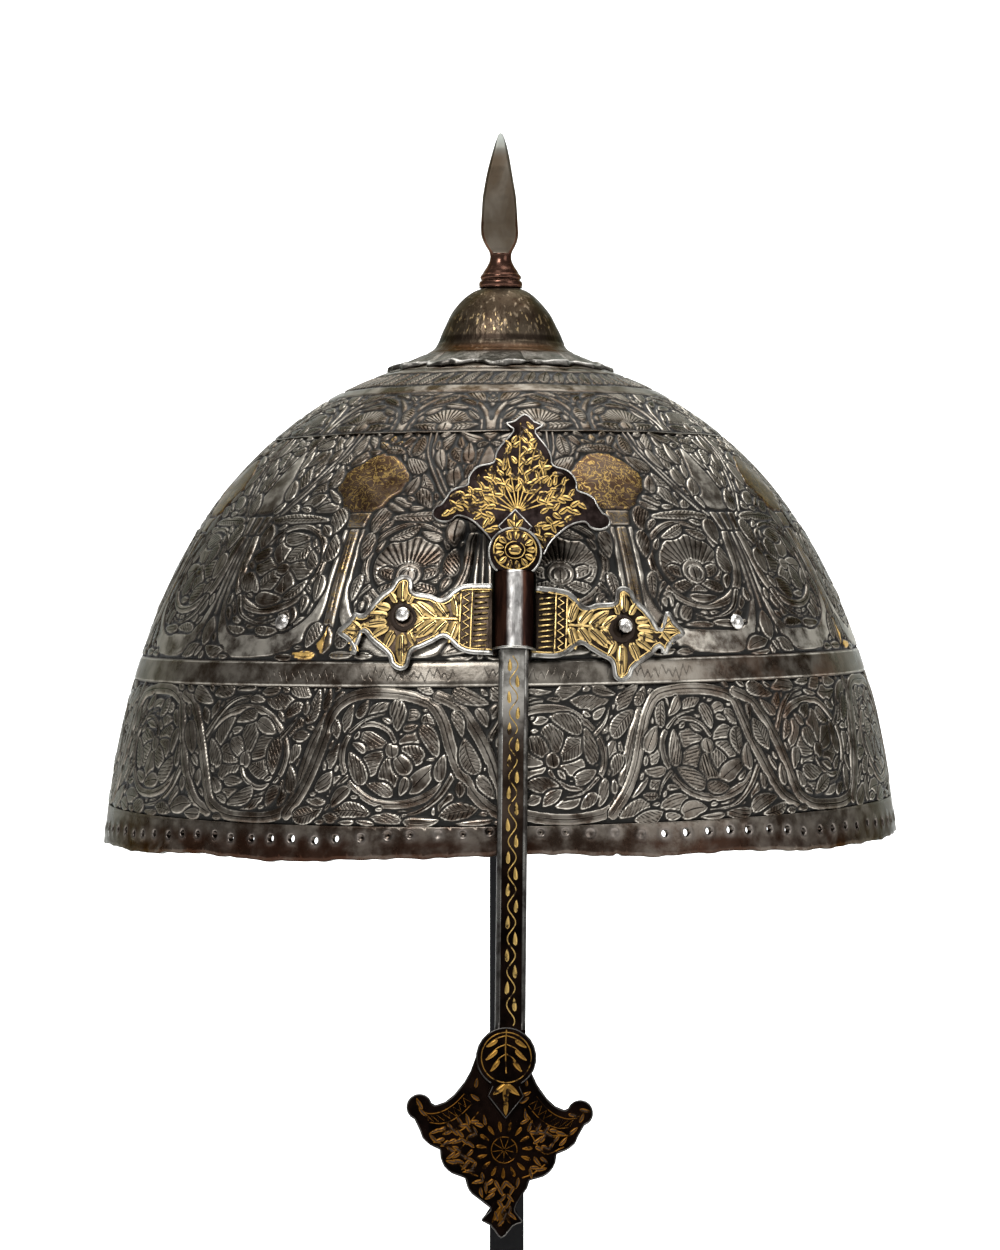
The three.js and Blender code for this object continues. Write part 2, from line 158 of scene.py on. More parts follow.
def make_mesh(name, places, quads, triangles=(), flat_quads=0, flat_triangles=0, attributes=None):
    """A mesh object from arrays; the last flat_* faces are shaded flat."""
    quads = np.asarray(quads, np.int32).reshape(-1, 4)
    triangles = np.asarray(triangles, np.int32).reshape(-1, 3)
    mesh = bpy.data.meshes.new(name)
    mesh.vertices.add(len(places))
    mesh.vertices.foreach_set("co", np.ascontiguousarray(places, np.float32).ravel())
    corners = np.concatenate([quads.ravel(), triangles.ravel()])
    mesh.loops.add(len(corners))
    mesh.loops.foreach_set("vertex_index", corners)
    sizes = np.concatenate([np.full(len(quads), 4), np.full(len(triangles), 3)]).astype(np.int32)
    starts = np.concatenate([[0], np.cumsum(sizes)[:-1]]).astype(np.int32)
    mesh.polygons.add(len(sizes))
    mesh.polygons.foreach_set("loop_start", starts)
    mesh.polygons.foreach_set("loop_total", sizes)
    is_smooth = np.ones(len(sizes), bool)
    if flat_quads:
        is_smooth[len(quads) - flat_quads:len(quads)] = False
    if flat_triangles:
        is_smooth[len(sizes) - flat_triangles:] = False
    mesh.polygons.foreach_set("use_smooth", is_smooth)
    mesh.update(calc_edges=True)
    mesh.validate()
    for key, values in (attributes or {}).items():
        layer = mesh.attributes.new(key, "FLOAT", "POINT")
        layer.data.foreach_set("value", np.ascontiguousarray(values, np.float32))
    piece = bpy.data.objects.new(name, mesh)
    bpy.context.scene.collection.objects.link(piece)
    return piece


def grid_faces(ids, inward=False):
    """Quads over a grid of vertex numbers, facing out when columns run right and rows run up."""
    a, b, c, d = ids[:-1, :-1], ids[:-1, 1:], ids[1:, 1:], ids[1:, :-1]
    order = (a, d, c, b) if inward else (a, b, c, d)
    return np.stack(order, axis=-1).reshape(-1, 4)


def zip_edges(fine, coarse, turned):
    """Triangles between a finely and a coarsely divided edge that run side by side."""
    step = (len(fine) - 1) // (len(coarse) - 1)
    found = []
    for j in range(len(coarse) - 1):
        first, middle, last = j * step, j * step + step // 2, (j + 1) * step
        found += [(fine[i], fine[i + 1], coarse[j]) for i in range(first, middle)]
        found.append((fine[middle], coarse[j + 1], coarse[j]))
        found += [(fine[i], fine[i + 1], coarse[j + 1]) for i in range(middle, last)]
    found = np.array(found)
    return found[:, ::-1] if turned else found


INNER_STEP = 8


def slab(name, azimuths, arcs, spacing, surface):
    """A closed piece of the bowl: a finely carved outside on a plain, coarser inside."""
    middle = radius_at(sum(arcs) / 2)
    width = math.radians(azimuths[1] - azimuths[0]) * middle
    columns = INNER_STEP * max(1, round(width / spacing / INNER_STEP))
    rows = INNER_STEP * max(1, round((arcs[1] - arcs[0]) / spacing / INNER_STEP))
    azimuth, arc = np.meshgrid(np.linspace(*azimuths, columns + 1), np.linspace(*arcs, rows + 1))
    out, attributes = surface(azimuth, arc)
    level = tilted(azimuth, arc)
    outer = on_bowl(azimuth, level, out + hammering(azimuth, arc))
    coarse = (slice(None, None, INNER_STEP), slice(None, None, INNER_STEP))
    inner = on_bowl(azimuth[coarse], level[coarse], -WALL)
    ids = np.arange(outer.shape[0] * outer.shape[1]).reshape(outer.shape[:2])
    inside = ids.size + np.arange(inner.shape[0] * inner.shape[1]).reshape(inner.shape[:2])
    quads = np.vstack([grid_faces(ids), grid_faces(inside, inward=True)])
    skirts = np.vstack([
        zip_edges(ids[0], inside[0], True), zip_edges(ids[-1], inside[-1], False),
        zip_edges(ids[:, 0], inside[:, 0], False), zip_edges(ids[:, -1], inside[:, -1], True),
    ])
    filled = {}
    for key, values in attributes.items():
        filled[key] = np.concatenate([values.ravel(), np.zeros(inside.size)])
    filled["inside"] = np.concatenate([np.zeros(ids.size), np.ones(inside.size)])
    places = np.vstack([outer.reshape(-1, 3), inner.reshape(-1, 3)])
    return make_mesh(name, places, quads, skirts, flat_triangles=len(skirts), attributes=filled)


# Ornament: raised shapes charted flat

def curve(points, per_span=8, closed=False):
    """A smooth curve through a few points."""
    p = np.asarray(points, float)
    if closed:
        p = np.vstack([p[-1], p, p[0], p[1]])
    else:
        p = np.vstack([2 * p[0] - p[1], p, 2 * p[-1] - p[-2]])
    t = np.linspace(0, 1, per_span, endpoint=False)[:, None]
    spans = []
    for a, b, c, d in zip(p, p[1:], p[2:], p[3:]):
        bend = (2 * a - 5 * b + 4 * c - d) * t ** 2 + (3 * b - a - 3 * c + d) * t ** 3
        spans.append(0.5 * (2 * b + (c - a) * t + bend))
    whole = np.vstack(spans)
    return whole if closed else np.vstack([whole, p[-2]])


NO_LINE = 9.0


class Motif:
    """A raised shape: where it is, and a chart of its signed distance and engraved lines."""

    def __init__(self, box, chart, top=0.0, bevel=0.4, moat=0.42, dish=0.0, gold=0.0):
        self.box = box
        self.chart = chart
        self.top = top
        self.bevel = bevel
        self.moat = moat
        self.dish = dish
        self.gold = gold


PROFILES = {
    "almond": lambda t: np.sin(np.pi * t) ** 0.85,
    "petal": lambda t: 1.32 * t ** 0.6 * (1 - t ** 3.2) ** 0.55,
    "leaf": lambda t: 2.2 * t ** 0.45 * (1 - t) ** 0.75,
    "round": lambda t: 2.0 * np.sqrt(t * (1 - t)),
}


def leaf(x, y, angle, length, width, bend=0.0, form="leaf", hatch=0.9, slant=None, **look):
    """A leaf or petal from its foot: straight hatching at a slant, or a midrib with slanting veins."""
    c, s = math.cos(math.radians(angle)), math.sin(math.radians(angle))
    profile = PROFILES[form]

    def chart(px, py):
        along = (px - x) * c + (py - y) * s
        t = np.clip(along / length, 0, 1)
        across = -(px - x) * s + (py - y) * c - bend * length * 4 * t * (1 - t)
        over = along - np.clip(along, 0, length)
        half = 0.5 * width * profile(t)
        distance = np.where(over == 0, (np.abs(across) - half) * 0.9, np.hypot(over, across))
        depth = smooth((-distance - 0.2) / 0.3)
        if slant is None:
            phase = (along + 0.7 * np.abs(across)) / (hatch or 1.0)
        else:
            phase = (along * math.sin(slant) + across * math.cos(slant)) / (hatch or 1.0)
        veins = depth * (np.abs(across) > 0.25) if hatch else 0 * depth
        line = across if slant is None or not hatch else 0 * across + NO_LINE
        return distance, phase, veins, line, depth * (t > 0.04) * (t < 0.82)

    pad = abs(bend) * length + width
    box = (x + min(0, c * length) - pad, x + max(0, c * length) + pad,
           y + min(0, s * length) - pad, y + max(0, s * length) + pad)
    return Motif(box, chart, **look)


def segments_chart(path, halves, px, py):
    """Distance beyond a tapering line, and to its middle, worked out near each segment only."""
    xs, ys = px[0], py[:, 0]
    reach = halves.max() + (1.4 if xs[1] - xs[0] < COARSE * 0.9 else 5.0)
    best = np.full(px.shape, reach)
    middle = np.full(px.shape, NO_LINE)
    for (ax, ay), (bx, by), wide, wider in zip(path, path[1:], halves, halves[1:]):
        c0, c1 = np.searchsorted(xs, (min(ax, bx) - reach, max(ax, bx) + reach))
        r0, r1 = np.searchsorted(ys, (min(ay, by) - reach, max(ay, by) + reach))
        view = (slice(r0, r1), slice(c0, c1))
        qx, qy = px[view], py[view]
        dx, dy = bx - ax, by - ay
        t = np.clip(((qx - ax) * dx + (qy - ay) * dy) / (dx * dx + dy * dy + 1e-9), 0, 1)
        near = np.hypot(qx - ax - t * dx, qy - ay - t * dy)
        beyond = near - (wide + (wider - wide) * t)
        better = beyond < best[view]
        side = np.where((qx - ax) * dy - (qy - ay) * dx < 0, -1.0, 1.0)
        best[view] = np.where(better, beyond, best[view])
        middle[view] = np.where(better, near * side, middle[view])
    return best, middle


def stem(points, start, end=None, groove=True, **look):
    """A stalk along a smooth curve, from one width to another, with a line down its middle."""
    path = curve(points)
    halves = np.linspace(start, start if end is None else end, len(path)) / 2
    pad = halves.max()

    def chart(px, py):
        distance, middle = segments_chart(path, halves, px, py)
        shown = smooth((-distance - 0.15) / 0.25) if groove else 0 * distance
        return distance, 0 * distance, 0 * distance, middle, shown

    box = (path[:, 0].min() - pad, path[:, 0].max() + pad, path[:, 1].min() - pad, path[:, 1].max() + pad)
    return Motif(box, chart, **look)


def oval(x, y, wide, tall):
    """Sixteen places round a middle."""
    turns = np.linspace(0, 2 * math.pi, 17)[:-1]
    return [(x + wide * math.sin(a), y + tall * math.cos(a)) for a in turns]


def shape(points, rounded=6, hatch=0.0, centre=None, **look):
    """A closed outline, plain or with ticks round a centre."""
    path = curve(points, rounded, closed=True) if rounded else np.asarray(points, float)

    def chart(px, py):
        best = np.full(px.shape, 1e3)
        inside = np.zeros(px.shape, bool)
        for (ax, ay), (bx, by) in zip(path, np.roll(path, -1, axis=0)):
            dx, dy = bx - ax, by - ay
            t = np.clip(((px - ax) * dx + (py - ay) * dy) / (dx * dx + dy * dy + 1e-9), 0, 1)
            best = np.minimum(best, np.hypot(px - ax - t * dx, py - ay - t * dy))
            if ay != by:
                inside ^= ((ay > py) != (by > py)) & (px < (bx - ax) * (py - ay) / (by - ay) + ax)
        distance = np.where(inside, -best, best)
        if centre:
            phase = np.degrees(np.arctan2(px - centre[0], py - centre[1])) / hatch
        else:
            phase = px
        veins = smooth((-distance - 0.3) / 0.3) if hatch else 0 * distance
        return distance, phase, veins, 0 * distance + NO_LINE, 0 * distance

    box = (path[:, 0].min() - 1, path[:, 0].max() + 1, path[:, 1].min() - 1, path[:, 1].max() + 1)
    return Motif(box, chart, **look)


def hatching(rng):
    """How a leaf is engraved: mostly straight lines, sometimes bare or with veins."""
    kind = rng.random()
    if kind < 0.3:
        return {"hatch": 0.0}
    if kind < 0.82:
        apart, way = float(rng.uniform(0.72, 0.9)), rng.choice([-1, 1])
        return {"hatch": apart, "slant": float(way * rng.uniform(0.1, 0.75))}
    return {"hatch": float(rng.uniform(0.9, 1.05))}


class Panel:
    """A carved panel charted flat: height of the metal, engraved lines and gilding."""

    def __init__(self, x0, x1, y0, y1):
        self.x0, self.y0 = x0, y0
        self.px, self.py = np.meshgrid(np.arange(x0, x1, PITCH), np.arange(y0, y1, PITCH))
        self.height = np.full(self.px.shape, GROUND)
        self.phase = np.zeros(self.px.shape)
        self.veins = np.zeros(self.px.shape)
        self.line = np.full(self.px.shape, NO_LINE)
        self.shown = np.zeros(self.px.shape)
        self.gold = np.zeros(self.px.shape)
        self.cx, self.cy = np.meshgrid(np.arange(x0, x1, COARSE), np.arange(y0, y1, COARSE))
        self.free = np.minimum(self.cy - y0, y1 - self.cy)

    def window(self, box, pad, fine=True):
        step = PITCH if fine else COARSE
        rows, columns = (self.px if fine else self.cx).shape
        c0 = max(0, int((box[0] - pad - self.x0) / step))
        c1 = min(columns, int((box[1] + pad - self.x0) / step) + 2)
        r0 = max(0, int((box[2] - pad - self.y0) / step))
        r1 = min(rows, int((box[3] + pad - self.y0) / step) + 2)
        return (slice(r0, r1), slice(c0, c1)) if r1 - r0 > 1 and c1 - c0 > 1 else None

    def carve(self, motif):
        """Raises a motif, with a dark moat cut into whatever lies behind it."""
        view = self.window(motif.box, motif.moat + 0.2)
        if view is None:
            return
        distance, phase, veins, line, shown = motif.chart(self.px[view], self.py[view])
        old = self.height[view]
        rim = np.clip(-distance / motif.bevel, 0, 1)
        raised = GROUND + (motif.top - GROUND) * np.sqrt(rim * (2 - rim))
        raised = raised - motif.dish * smooth((-distance - 0.5) / 1.2)
        moat = np.minimum(old, GROUND + (old - GROUND) * smooth(distance / motif.moat - 0.25))
        within = distance <= 0
        near = (distance > 0) & (distance < motif.moat * 1.25)
        self.height[view] = np.where(within, raised, np.where(near, moat, old))
        for layer, value in ((self.phase, phase), (self.line, line)):
            layer[view] = np.where(within, value, layer[view])
        for layer, value in ((self.veins, veins), (self.shown, shown), (self.gold, motif.gold)):
            layer[view] = np.where(within, value, np.where(near, 0, layer[view]))
        view = self.window(motif.box, 5, fine=False)
        if view is not None:
            distance = motif.chart(self.cx[view], self.cy[view])[0]
            self.free[view] = np.minimum(self.free[view], distance)

    def fill(self, x0, x1, rng, count, y1=1e3, smallest=0.7, longest=9.5):
        """Packs leaves into what is left open, the widest gaps first."""
        open_here = (self.cx >= x0) & (self.cx < x1) & (self.cy < y1)
        for _ in range(count):
            score = np.where(open_here, self.free, -1)
            r, c = np.unravel_index(np.argmax(score), score.shape)
            room = score[r, c]
            if room < smallest:
                return
            x, y = self.cx[r, c], self.cy[r, c]
            best = (-1, 0, 0, 0)
            for angle in np.arange(0, 180, 15) + rng.uniform(-6, 6):
                dx, dy = math.cos(math.radians(angle)), math.sin(math.radians(angle))
                ahead, back = self.reach(x, y, dx, dy), self.reach(x, y, -dx, -dy)
                if ahead + back > best[0]:
                    best = (ahead + back, angle, ahead, back)
            span, angle, ahead, back = best
            if rng.random() < 0.5:
                angle, back = angle + 180, ahead
            a = math.radians(angle)
            width = min(2 * room * 1.2, 4.8, 0.56 * span)
            form = ("leaf", "petal", "leaf", "almond")[int(rng.integers(4))]
            self.carve(leaf(
                x - back * math.cos(a), y - back * math.sin(a), angle, min(span, longest), width,
                rng.uniform(-0.08, 0.08), form, **hatching(rng),
            ))

    def reach(self, x, y, dx, dy):
        """How far the open space runs from a place in one direction."""
        step = 0.0
        while step < 6.0:
            step += 0.5
            c = int((x + dx * step - self.x0) / COARSE)
            r = int((y + dy * step - self.y0) / COARSE)
            inside = 0 <= r < self.free.shape[0] and 0 <= c < self.free.shape[1]
            if not inside or self.free[r, c] < 0.3:
                return step - 0.5
        return step

    def soften(self):
        """Rounds the cut a little, so that the mesh can follow it."""
        h = np.pad(self.height, 1, mode="edge")
        rows = 0.25 * (h[:-2] + 2 * h[1:-1] + h[2:])
        self.height = 0.25 * (rows[:, :-2] + 2 * rows[:, 1:-1] + rows[:, 2:])

    def sample(self, x, y):
        """The panel's layers at places on it, the height read between the cells."""
        fx, fy = (x - self.x0) / PITCH, (y - self.y0) / PITCH
        rows, columns = self.height.shape
        c = np.clip(np.floor(fx).astype(int), 0, columns - 2)
        r = np.clip(np.floor(fy).astype(int), 0, rows - 2)
        u, v = np.clip(fx - c, 0, 1), np.clip(fy - r, 0, 1)
        h = self.height
        low = h[r, c] * (1 - u) + h[r, c + 1] * u
        high = h[r + 1, c] * (1 - u) + h[r + 1, c + 1] * u
        height = low * (1 - v) + high * v
        c, r = c + (u > 0.5), r + (v > 0.5)
        layers = {"phase": self.phase, "veins": self.veins, "line": self.line,
                  "shown": self.shown, "gilt": self.gold}
        return height, {key: layer[r, c] for key, layer in layers.items()}


# Frieze: one long scrolling stem with a spiral and a flower in each turn

FRIEZE_HIGH = FRIEZE[1] - FRIEZE[0]
UNIT = 40.0
FRIEZE_CELLS = 8
FRIEZE_STEM = [
    (-26.6, 2.3), (-22.4, 7.9), (-19.4, 14), (-17.1, 21.5), (-15.5, 26.6), (-12.5, 30.2), (-7.6, 31.6),
    (-1.1, 31.9), (5.8, 31.4), (10.8, 29.2), (13.2, 25.2), (15.3, 19.2), (17.3, 14.2), (20.1, 8.8),
    (23.6, 4.5), (27.9, 2.3),
]
FRIEZE_SPIRAL = [
    (17.0, 14.8), (14.6, 10.6), (10.0, 7.2), (4.1, 5.4), (-2.1, 5.9), (-7.4, 9.1), (-11.1, 14.2),
    (-11.3, 19.7), (-8.1, 23.5), (-3.3, 24.6), (0.9, 22.9), (2.6, 20.4),
]
FRIEZE_BRANCHES = [
    ([(16.2, 12.5), (12.6, 7.0), (7.5, 3.2), (1.0, 2.2)], 1.9, 0.8),
    ([(-9.5, 12.0), (-12.5, 9.0), (-14.0, 5.5)], 1.4, 0.6),
    ([(-9.8, 22.5), (-6.0, 25.6), (-0.5, 27.0)], 1.3, 0.6),
]
# Foot x and y, angle, length, width, form
FRIEZE_LEAVES = [
    (-16.0, 8.0, 28, 8.0, 3.8, "leaf"), (-14.5, 3.3, 2, 12.5, 4.6, "almond"),
    (-15.2, 13.5, 62, 7.0, 3.6, "leaf"), (-11.5, 22.5, 78, 7.5, 3.4, "leaf"),
    (-5.5, 25.8, 25, 8.5, 4.0, "leaf"), (3.2, 25.6, 20, 5.5, 3.8, "petal"),
    (11.6, 22.5, 120, 5.2, 3.6, "petal"), (3.0, 2.6, 8, 8.5, 3.2, "leaf"),
    (13.0, 3.0, 60, 6.0, 3.4, "petal"),
]
FRIEZE_PETALS = [(28, 8.2, 6.0), (345, 8.0, 6.2), (165, 9.8, 6.2), (212, 9.8, 6.4), (262, 10.0, 6.6),
                 (306, 7.4, 5.0)]
FLOWER_AT = (2.3, 18.0)


def frieze_cell(panel, centre, turned, rng):
    """One turn of the stem, every second one upside down."""
    def put(x, y):
        x, y = x + rng.uniform(-0.25, 0.25), y + rng.uniform(-0.2, 0.2)
        return (centre - x, FRIEZE_HIGH - y) if turned else (centre + x, y)

    def petal(x, y, angle, length, width, **look):
        px, py = put(x, y)
        angle = angle + (180 if turned else 0) + rng.uniform(-5, 5)
        length, width = length * rng.uniform(0.93, 1.07), width * rng.uniform(0.93, 1.07)
        panel.carve(leaf(px, py, angle, length, width, **look))

    for x, y, angle, length, width, form in FRIEZE_LEAVES:
        petal(x, y, angle, length, width, form=form, bend=0.06, **hatching(rng))
    for angle, length, width in FRIEZE_PETALS:
        petal(*FLOWER_AT, angle, length, width, form="petal", **hatching(rng))
    petal(2.0, 16.2, 100, 4.0, 3.6, form="round", hatch=0)
    panel.carve(stem([put(x, y) for x, y in FRIEZE_SPIRAL], 2.6, 1.2, top=0.14))
    for points, start, end in FRIEZE_BRANCHES:
        panel.carve(stem([put(x, y) for x, y in points], start, end))
    panel.carve(stem([put(x, y) for x, y in FRIEZE_STEM], 2.9, 2.9, top=0.18))


def frieze_panel():
    """Eight turns of the stem, which come round twice."""
    panel = Panel(-UNIT, (FRIEZE_CELLS + 1) * UNIT, 0, FRIEZE_HIGH)
    for i in range(-1, FRIEZE_CELLS + 1):
        frieze_cell(panel, (i + 0.5) * UNIT, i % 2 == 1, np.random.default_rng(100 + i % FRIEZE_CELLS))
    for i in range(FRIEZE_CELLS):
        panel.fill(i * UNIT, (i + 1) * UNIT, np.random.default_rng(300 + i), count=70)
    panel.soften()
    return panel


# Azimuths of the turns' centres; the nine behind are even
FRIEZE_CENTRES = [-60.2, -36.5, -15.9, 7.95, 28.4, 51.5, 71.6]
FRIEZE_TURNS = 16


def frieze_axes():
    """Azimuth at each cell's centre, for one turn and a bit more on both sides."""
    rest = FRIEZE_TURNS - len(FRIEZE_CENTRES)
    last = FRIEZE_CENTRES[-1]
    gap = (360 + FRIEZE_CENTRES[0] - last) / (rest + 1)
    once = FRIEZE_CENTRES + [last + gap * (i + 1) for i in range(rest)]
    azimuths = [a + 360 * k for k in (-1, 0, 1) for a in once]
    return np.array(azimuths), np.arange(-FRIEZE_TURNS, 2 * FRIEZE_TURNS)


def frieze_surface(panel):
    azimuths, numbers = frieze_axes()

    def surface(azimuth, arc):
        place = np.interp(azimuth, azimuths, numbers) + 0.5
        return panel.sample((place % FRIEZE_CELLS) * UNIT, arc - FRIEZE[0])

    return surface


# Main field: half-units between an axis with a gilt palmette (A) and one with a plain blade (B)

HALF = 31.4
A_STEM = 1.3
U_OUTER = [
    (1.5, 86), (1.5, 75.8), (1.5, 65.5), (2.4, 60.6), (4.8, 56), (8.6, 52.9), (13.1, 51.7), (20.3, 51.3),
    (23.8, 52.4), (27.4, 56.3), (29.2, 61.2), (30.4, 67.4), (30.6, 74), (31.3, 84),
]
U_INNER = [
    (30.2, 84), (29.4, 74), (28.9, 66.6), (27.2, 61.8), (24.8, 58.6), (21.9, 57.6), (13.2, 57.7),
    (8.9, 58.6), (5.2, 62.1), (3.4, 67), (2.9, 75), (2.9, 86),
]
SCROLL = [
    (30.2, 87.4), (28.6, 82), (28.0, 75.5), (26.2, 69.2), (21.5, 65.0), (15.5, 63.9), (9.9, 66.2),
    (6.3, 71.3), (5.4, 77.4), (7.6, 83.4), (12.3, 86.6), (17.4, 86.6), (21.6, 84.0), (23.4, 80.2),
]
MEDALLION_AT = (15.4, 75.4)
OGIVE = [(31.0, 89.0), (25.8, 89.6), (21.9, 95.3), (18.2, 102.2), (14.9, 109.5), (13.9, 117.4)]
LONG_LEAF = (25.5, 88.9, 181, 19.0, 3.2)
PALMETTE_EDGE = [
    (10.2, 100), (9.9, 102.6), (8.5, 104.7), (5.2, 107.7), (2.4, 109.5), (0, 110.2), (-2.4, 109.5),
    (-5.2, 107.7), (-8.5, 104.7), (-9.9, 102.6), (-10.2, 100), (-9.5, 97.3), (-6.7, 95), (-5.5, 92.5),
    (-3, 91.1), (0, 91.3), (3, 91.1), (5.5, 92.5), (6.7, 95), (9.5, 97.3),
]
BLADE = [(HALF - 4.6, 92.2), (HALF - 4.9, 96.5), (HALF - 3.4, 103.5), (HALF, 112.5),
         (HALF + 3.4, 103.5), (HALF + 4.9, 96.5), (HALF + 4.6, 92.2), (HALF, 90.9)]
# Foot x and y, angle, length, width and form of the leaves in the lower and upper parts
FIELD_LEAVES = [
    (8.2, 60.4, 150, 4.0, 2.6, "leaf"), (9.4, 60.0, 95, 5.2, 3.2, "leaf"),
    (10.6, 59.6, 60, 6.0, 3.2, "leaf"), (11.8, 59.4, 28, 6.6, 2.8, "almond"),
    (20.4, 59.8, 150, 5.4, 3.0, "leaf"),
    (21.0, 60.0, 92, 4.6, 3.0, "petal"), (22.2, 60.2, 48, 5.6, 3.0, "leaf"),
    (24.6, 62.4, 62, 5.8, 2.6, "almond"), (23.4, 98.0, 95, 8.4, 4.4, "leaf"),
    (20.8, 104.0, 80, 8.6, 3.8, "leaf"), (25.4, 106.0, 120, 7.4, 4.4, "petal"),
    (27.2, 104.0, 75, 8.0, 3.2, "almond"), (17.6, 110.6, 60, 7.2, 3.8, "leaf"),
    (29.2, 114.2, 160, 8.2, 3.2, "leaf"), (16.8, 96.0, 118, 7.2, 3.8, "leaf"),
    (14.2, 92.4, 150, 6.2, 3.4, "petal"), (12.2, 106.2, 92, 7.4, 3.6, "leaf"),
    (8.6, 108.2, 100, 7.2, 3.2, "almond"), (4.6, 111.6, 60, 5.4, 3.0, "petal"),
    (18.4, 91.4, 25, 5.4, 2.8, "leaf"),
]
# Length and width of a flower's petals
FLOWER = [(8.6, 6.4), (8.0, 6.0), (8.8, 6.6), (8.2, 6.0), (8.6, 6.4), (7.8, 6.0)]
RADIAL_TICKS = 9.0


def medallion(panel, kind, rng):
    """What the scroll wraps: a flower of broad petals, or a disc with ticks round a bud."""
    x, y = MEDALLION_AT
    if kind == "disc":
        panel.carve(shape(oval(x, y, 8.3, 8.3), hatch=RADIAL_TICKS, centre=(x, y - 3.5), bevel=0.5))
        for angle in (152, 28, 205, 335):
            panel.carve(leaf(x, y - 4.4, angle, 7.4, 3.8, form="petal", hatch=0.95))
        panel.carve(leaf(x, y - 5.6, 90, 6.4, 6.0, form="round", hatch=0, top=0.06))
        panel.carve(leaf(x, y - 4.6, 90, 3.8, 3.4, form="round", hatch=0, moat=0.35))
        return
    turn = rng.uniform(-15, 15)
    for k, (length, width) in enumerate(FLOWER):
        angle = turn + 60 * k + rng.uniform(-7, 7)
        panel.carve(leaf(x, y, angle, length, width, rng.uniform(-0.06, 0.06), "petal", **hatching(rng)))
    panel.carve(leaf(x - 1.7, y - 0.4, 0, 3.6, 3.4, form="round", hatch=0, top=0.05))


def field_panel(kind, seed, strong_gold=0.0):
    """A half-unit of the field, from its A axis to its B axis."""
    rng = np.random.default_rng(seed)
    panel = Panel(-6, HALF + 6, *FIELD)
    for x, y, angle, length, width, form in FIELD_LEAVES:
        angle, length = angle + rng.uniform(-9, 9), length * rng.uniform(0.9, 1.1)
        panel.carve(leaf(x + rng.uniform(-0.5, 0.5), y, angle, length, width, 0.06, form, **hatching(rng)))
    medallion(panel, kind, rng)
    panel.carve(stem(SCROLL, 2.7, 1.2, top=0.16))
    panel.carve(stem([(7.2, 70.0), (5.0, 66.8), (5.4, 62.8)], 1.4, 0.7))
    panel.carve(stem([(25.4, 67.6), (22.6, 62.8), (17.0, 60.4), (13.0, 61.6)], 1.6, 0.7))
    panel.carve(shape(U_OUTER + U_INNER, rounded=3, bevel=0.35, dish=0.08, top=-0.04))
    panel.carve(stem(OGIVE, 1.3, 1.1, groove=False, moat=0.5))
    panel.carve(stem([(x - 2.0, y + 1.2) for x, y in OGIVE[1:]], 1.1, 0.9, groove=False, moat=0.5))
    x, y, angle, length, width = LONG_LEAF
    panel.carve(leaf(x, y, angle, length, width, -0.03, "leaf", hatch=1.2))
    # Axis B: bud, capital and blade
    panel.carve(stem([(HALF, 50), (HALF, 84)], 1.1, 1.1, groove=False))
    panel.carve(leaf(HALF, 54.0, 90, 8.6, 4.4, form="almond", hatch=0))
    panel.carve(leaf(HALF, 51.0, 90, 2.4, 2.2, form="round", hatch=0))
    capital = [(HALF - 3.4, 84.8), (HALF - 4.8, 90.4), (HALF + 4.8, 90.4), (HALF + 3.4, 84.8)]
    panel.carve(shape(capital, rounded=0))
    for offset in (-1.4, 1.4):
        cut = [(HALF + offset, 85.2), (HALF + 1.25 * offset, 90.2)]
        panel.carve(stem(cut, 0.25, 0.25, groove=False, top=-0.3))
    panel.carve(shape(BLADE, rounded=4, dish=0.05, top=-0.1))
    # Axis A: stem, bud, capital and gilt palmette
    panel.carve(stem([(0, 57.5), (0, 86)], 2 * A_STEM, 2 * A_STEM, gold=0.5))
    panel.carve(leaf(0, 52.2, 90, 7.6, 3.9, form="almond", hatch=0, gold=0.45 + strong_gold))
    for x, angle in ((1.4, 2), (-1.4, 178)):
        panel.carve(leaf(x, 52.2, angle, 6.4, 2.4, hatch=0, gold=0.3 + strong_gold))
    panel.carve(shape([(-2.4, 86.2), (-3.2, 90.8), (3.2, 90.8), (2.4, 86.2)], rounded=0, gold=0.5))
    panel.carve(shape(PALMETTE_EDGE, rounded=3, bevel=0.4, gold=0.85))
    panel.carve(leaf(0, 111.4, 90, 5.2, 2.8, form="petal", hatch=0, gold=0.5))
    for angle in (35, 145):
        panel.carve(leaf(0, 111.6, angle, 5.0, 2.4, hatch=0, gold=0.3))
    panel.fill(1.0, HALF - 0.5, rng, count=110, smallest=0.65, longest=8.0)
    panel.soften()
    return panel


# Axis number, then its azimuth at the top and at the bottom of the field
AXES_FRONT = [(-3, -70.5, -75.0), (-2, -48.6, -51.9), (-1, -25.2, -27.0), (0, -2.4, -3.0),
              (1, 21.3, 21.3), (2, 45.0, 45.2), (3, 67.5, 67.5)]
AXES = 16


def field_axes():
    """Axis numbers and their azimuths at the top and bottom, for one turn and more on both sides."""
    _, first_top, first_low = AXES_FRONT[0]
    last, last_top, last_low = AXES_FRONT[-1]
    rest = AXES - len(AXES_FRONT)
    gap_top = (360 + first_top - last_top) / (rest + 1)
    gap_low = (360 + first_low - last_low) / (rest + 1)
    once = list(AXES_FRONT)
    once += [(last + i, last_top + gap_top * i, last_low + gap_low * i) for i in range(1, rest + 1)]
    rows = [(n + AXES * k, top + 360 * k, low + 360 * k) for k in (-1, 0, 1) for n, top, low in once]
    return np.array(rows)


FIELD_AXES = field_axes()


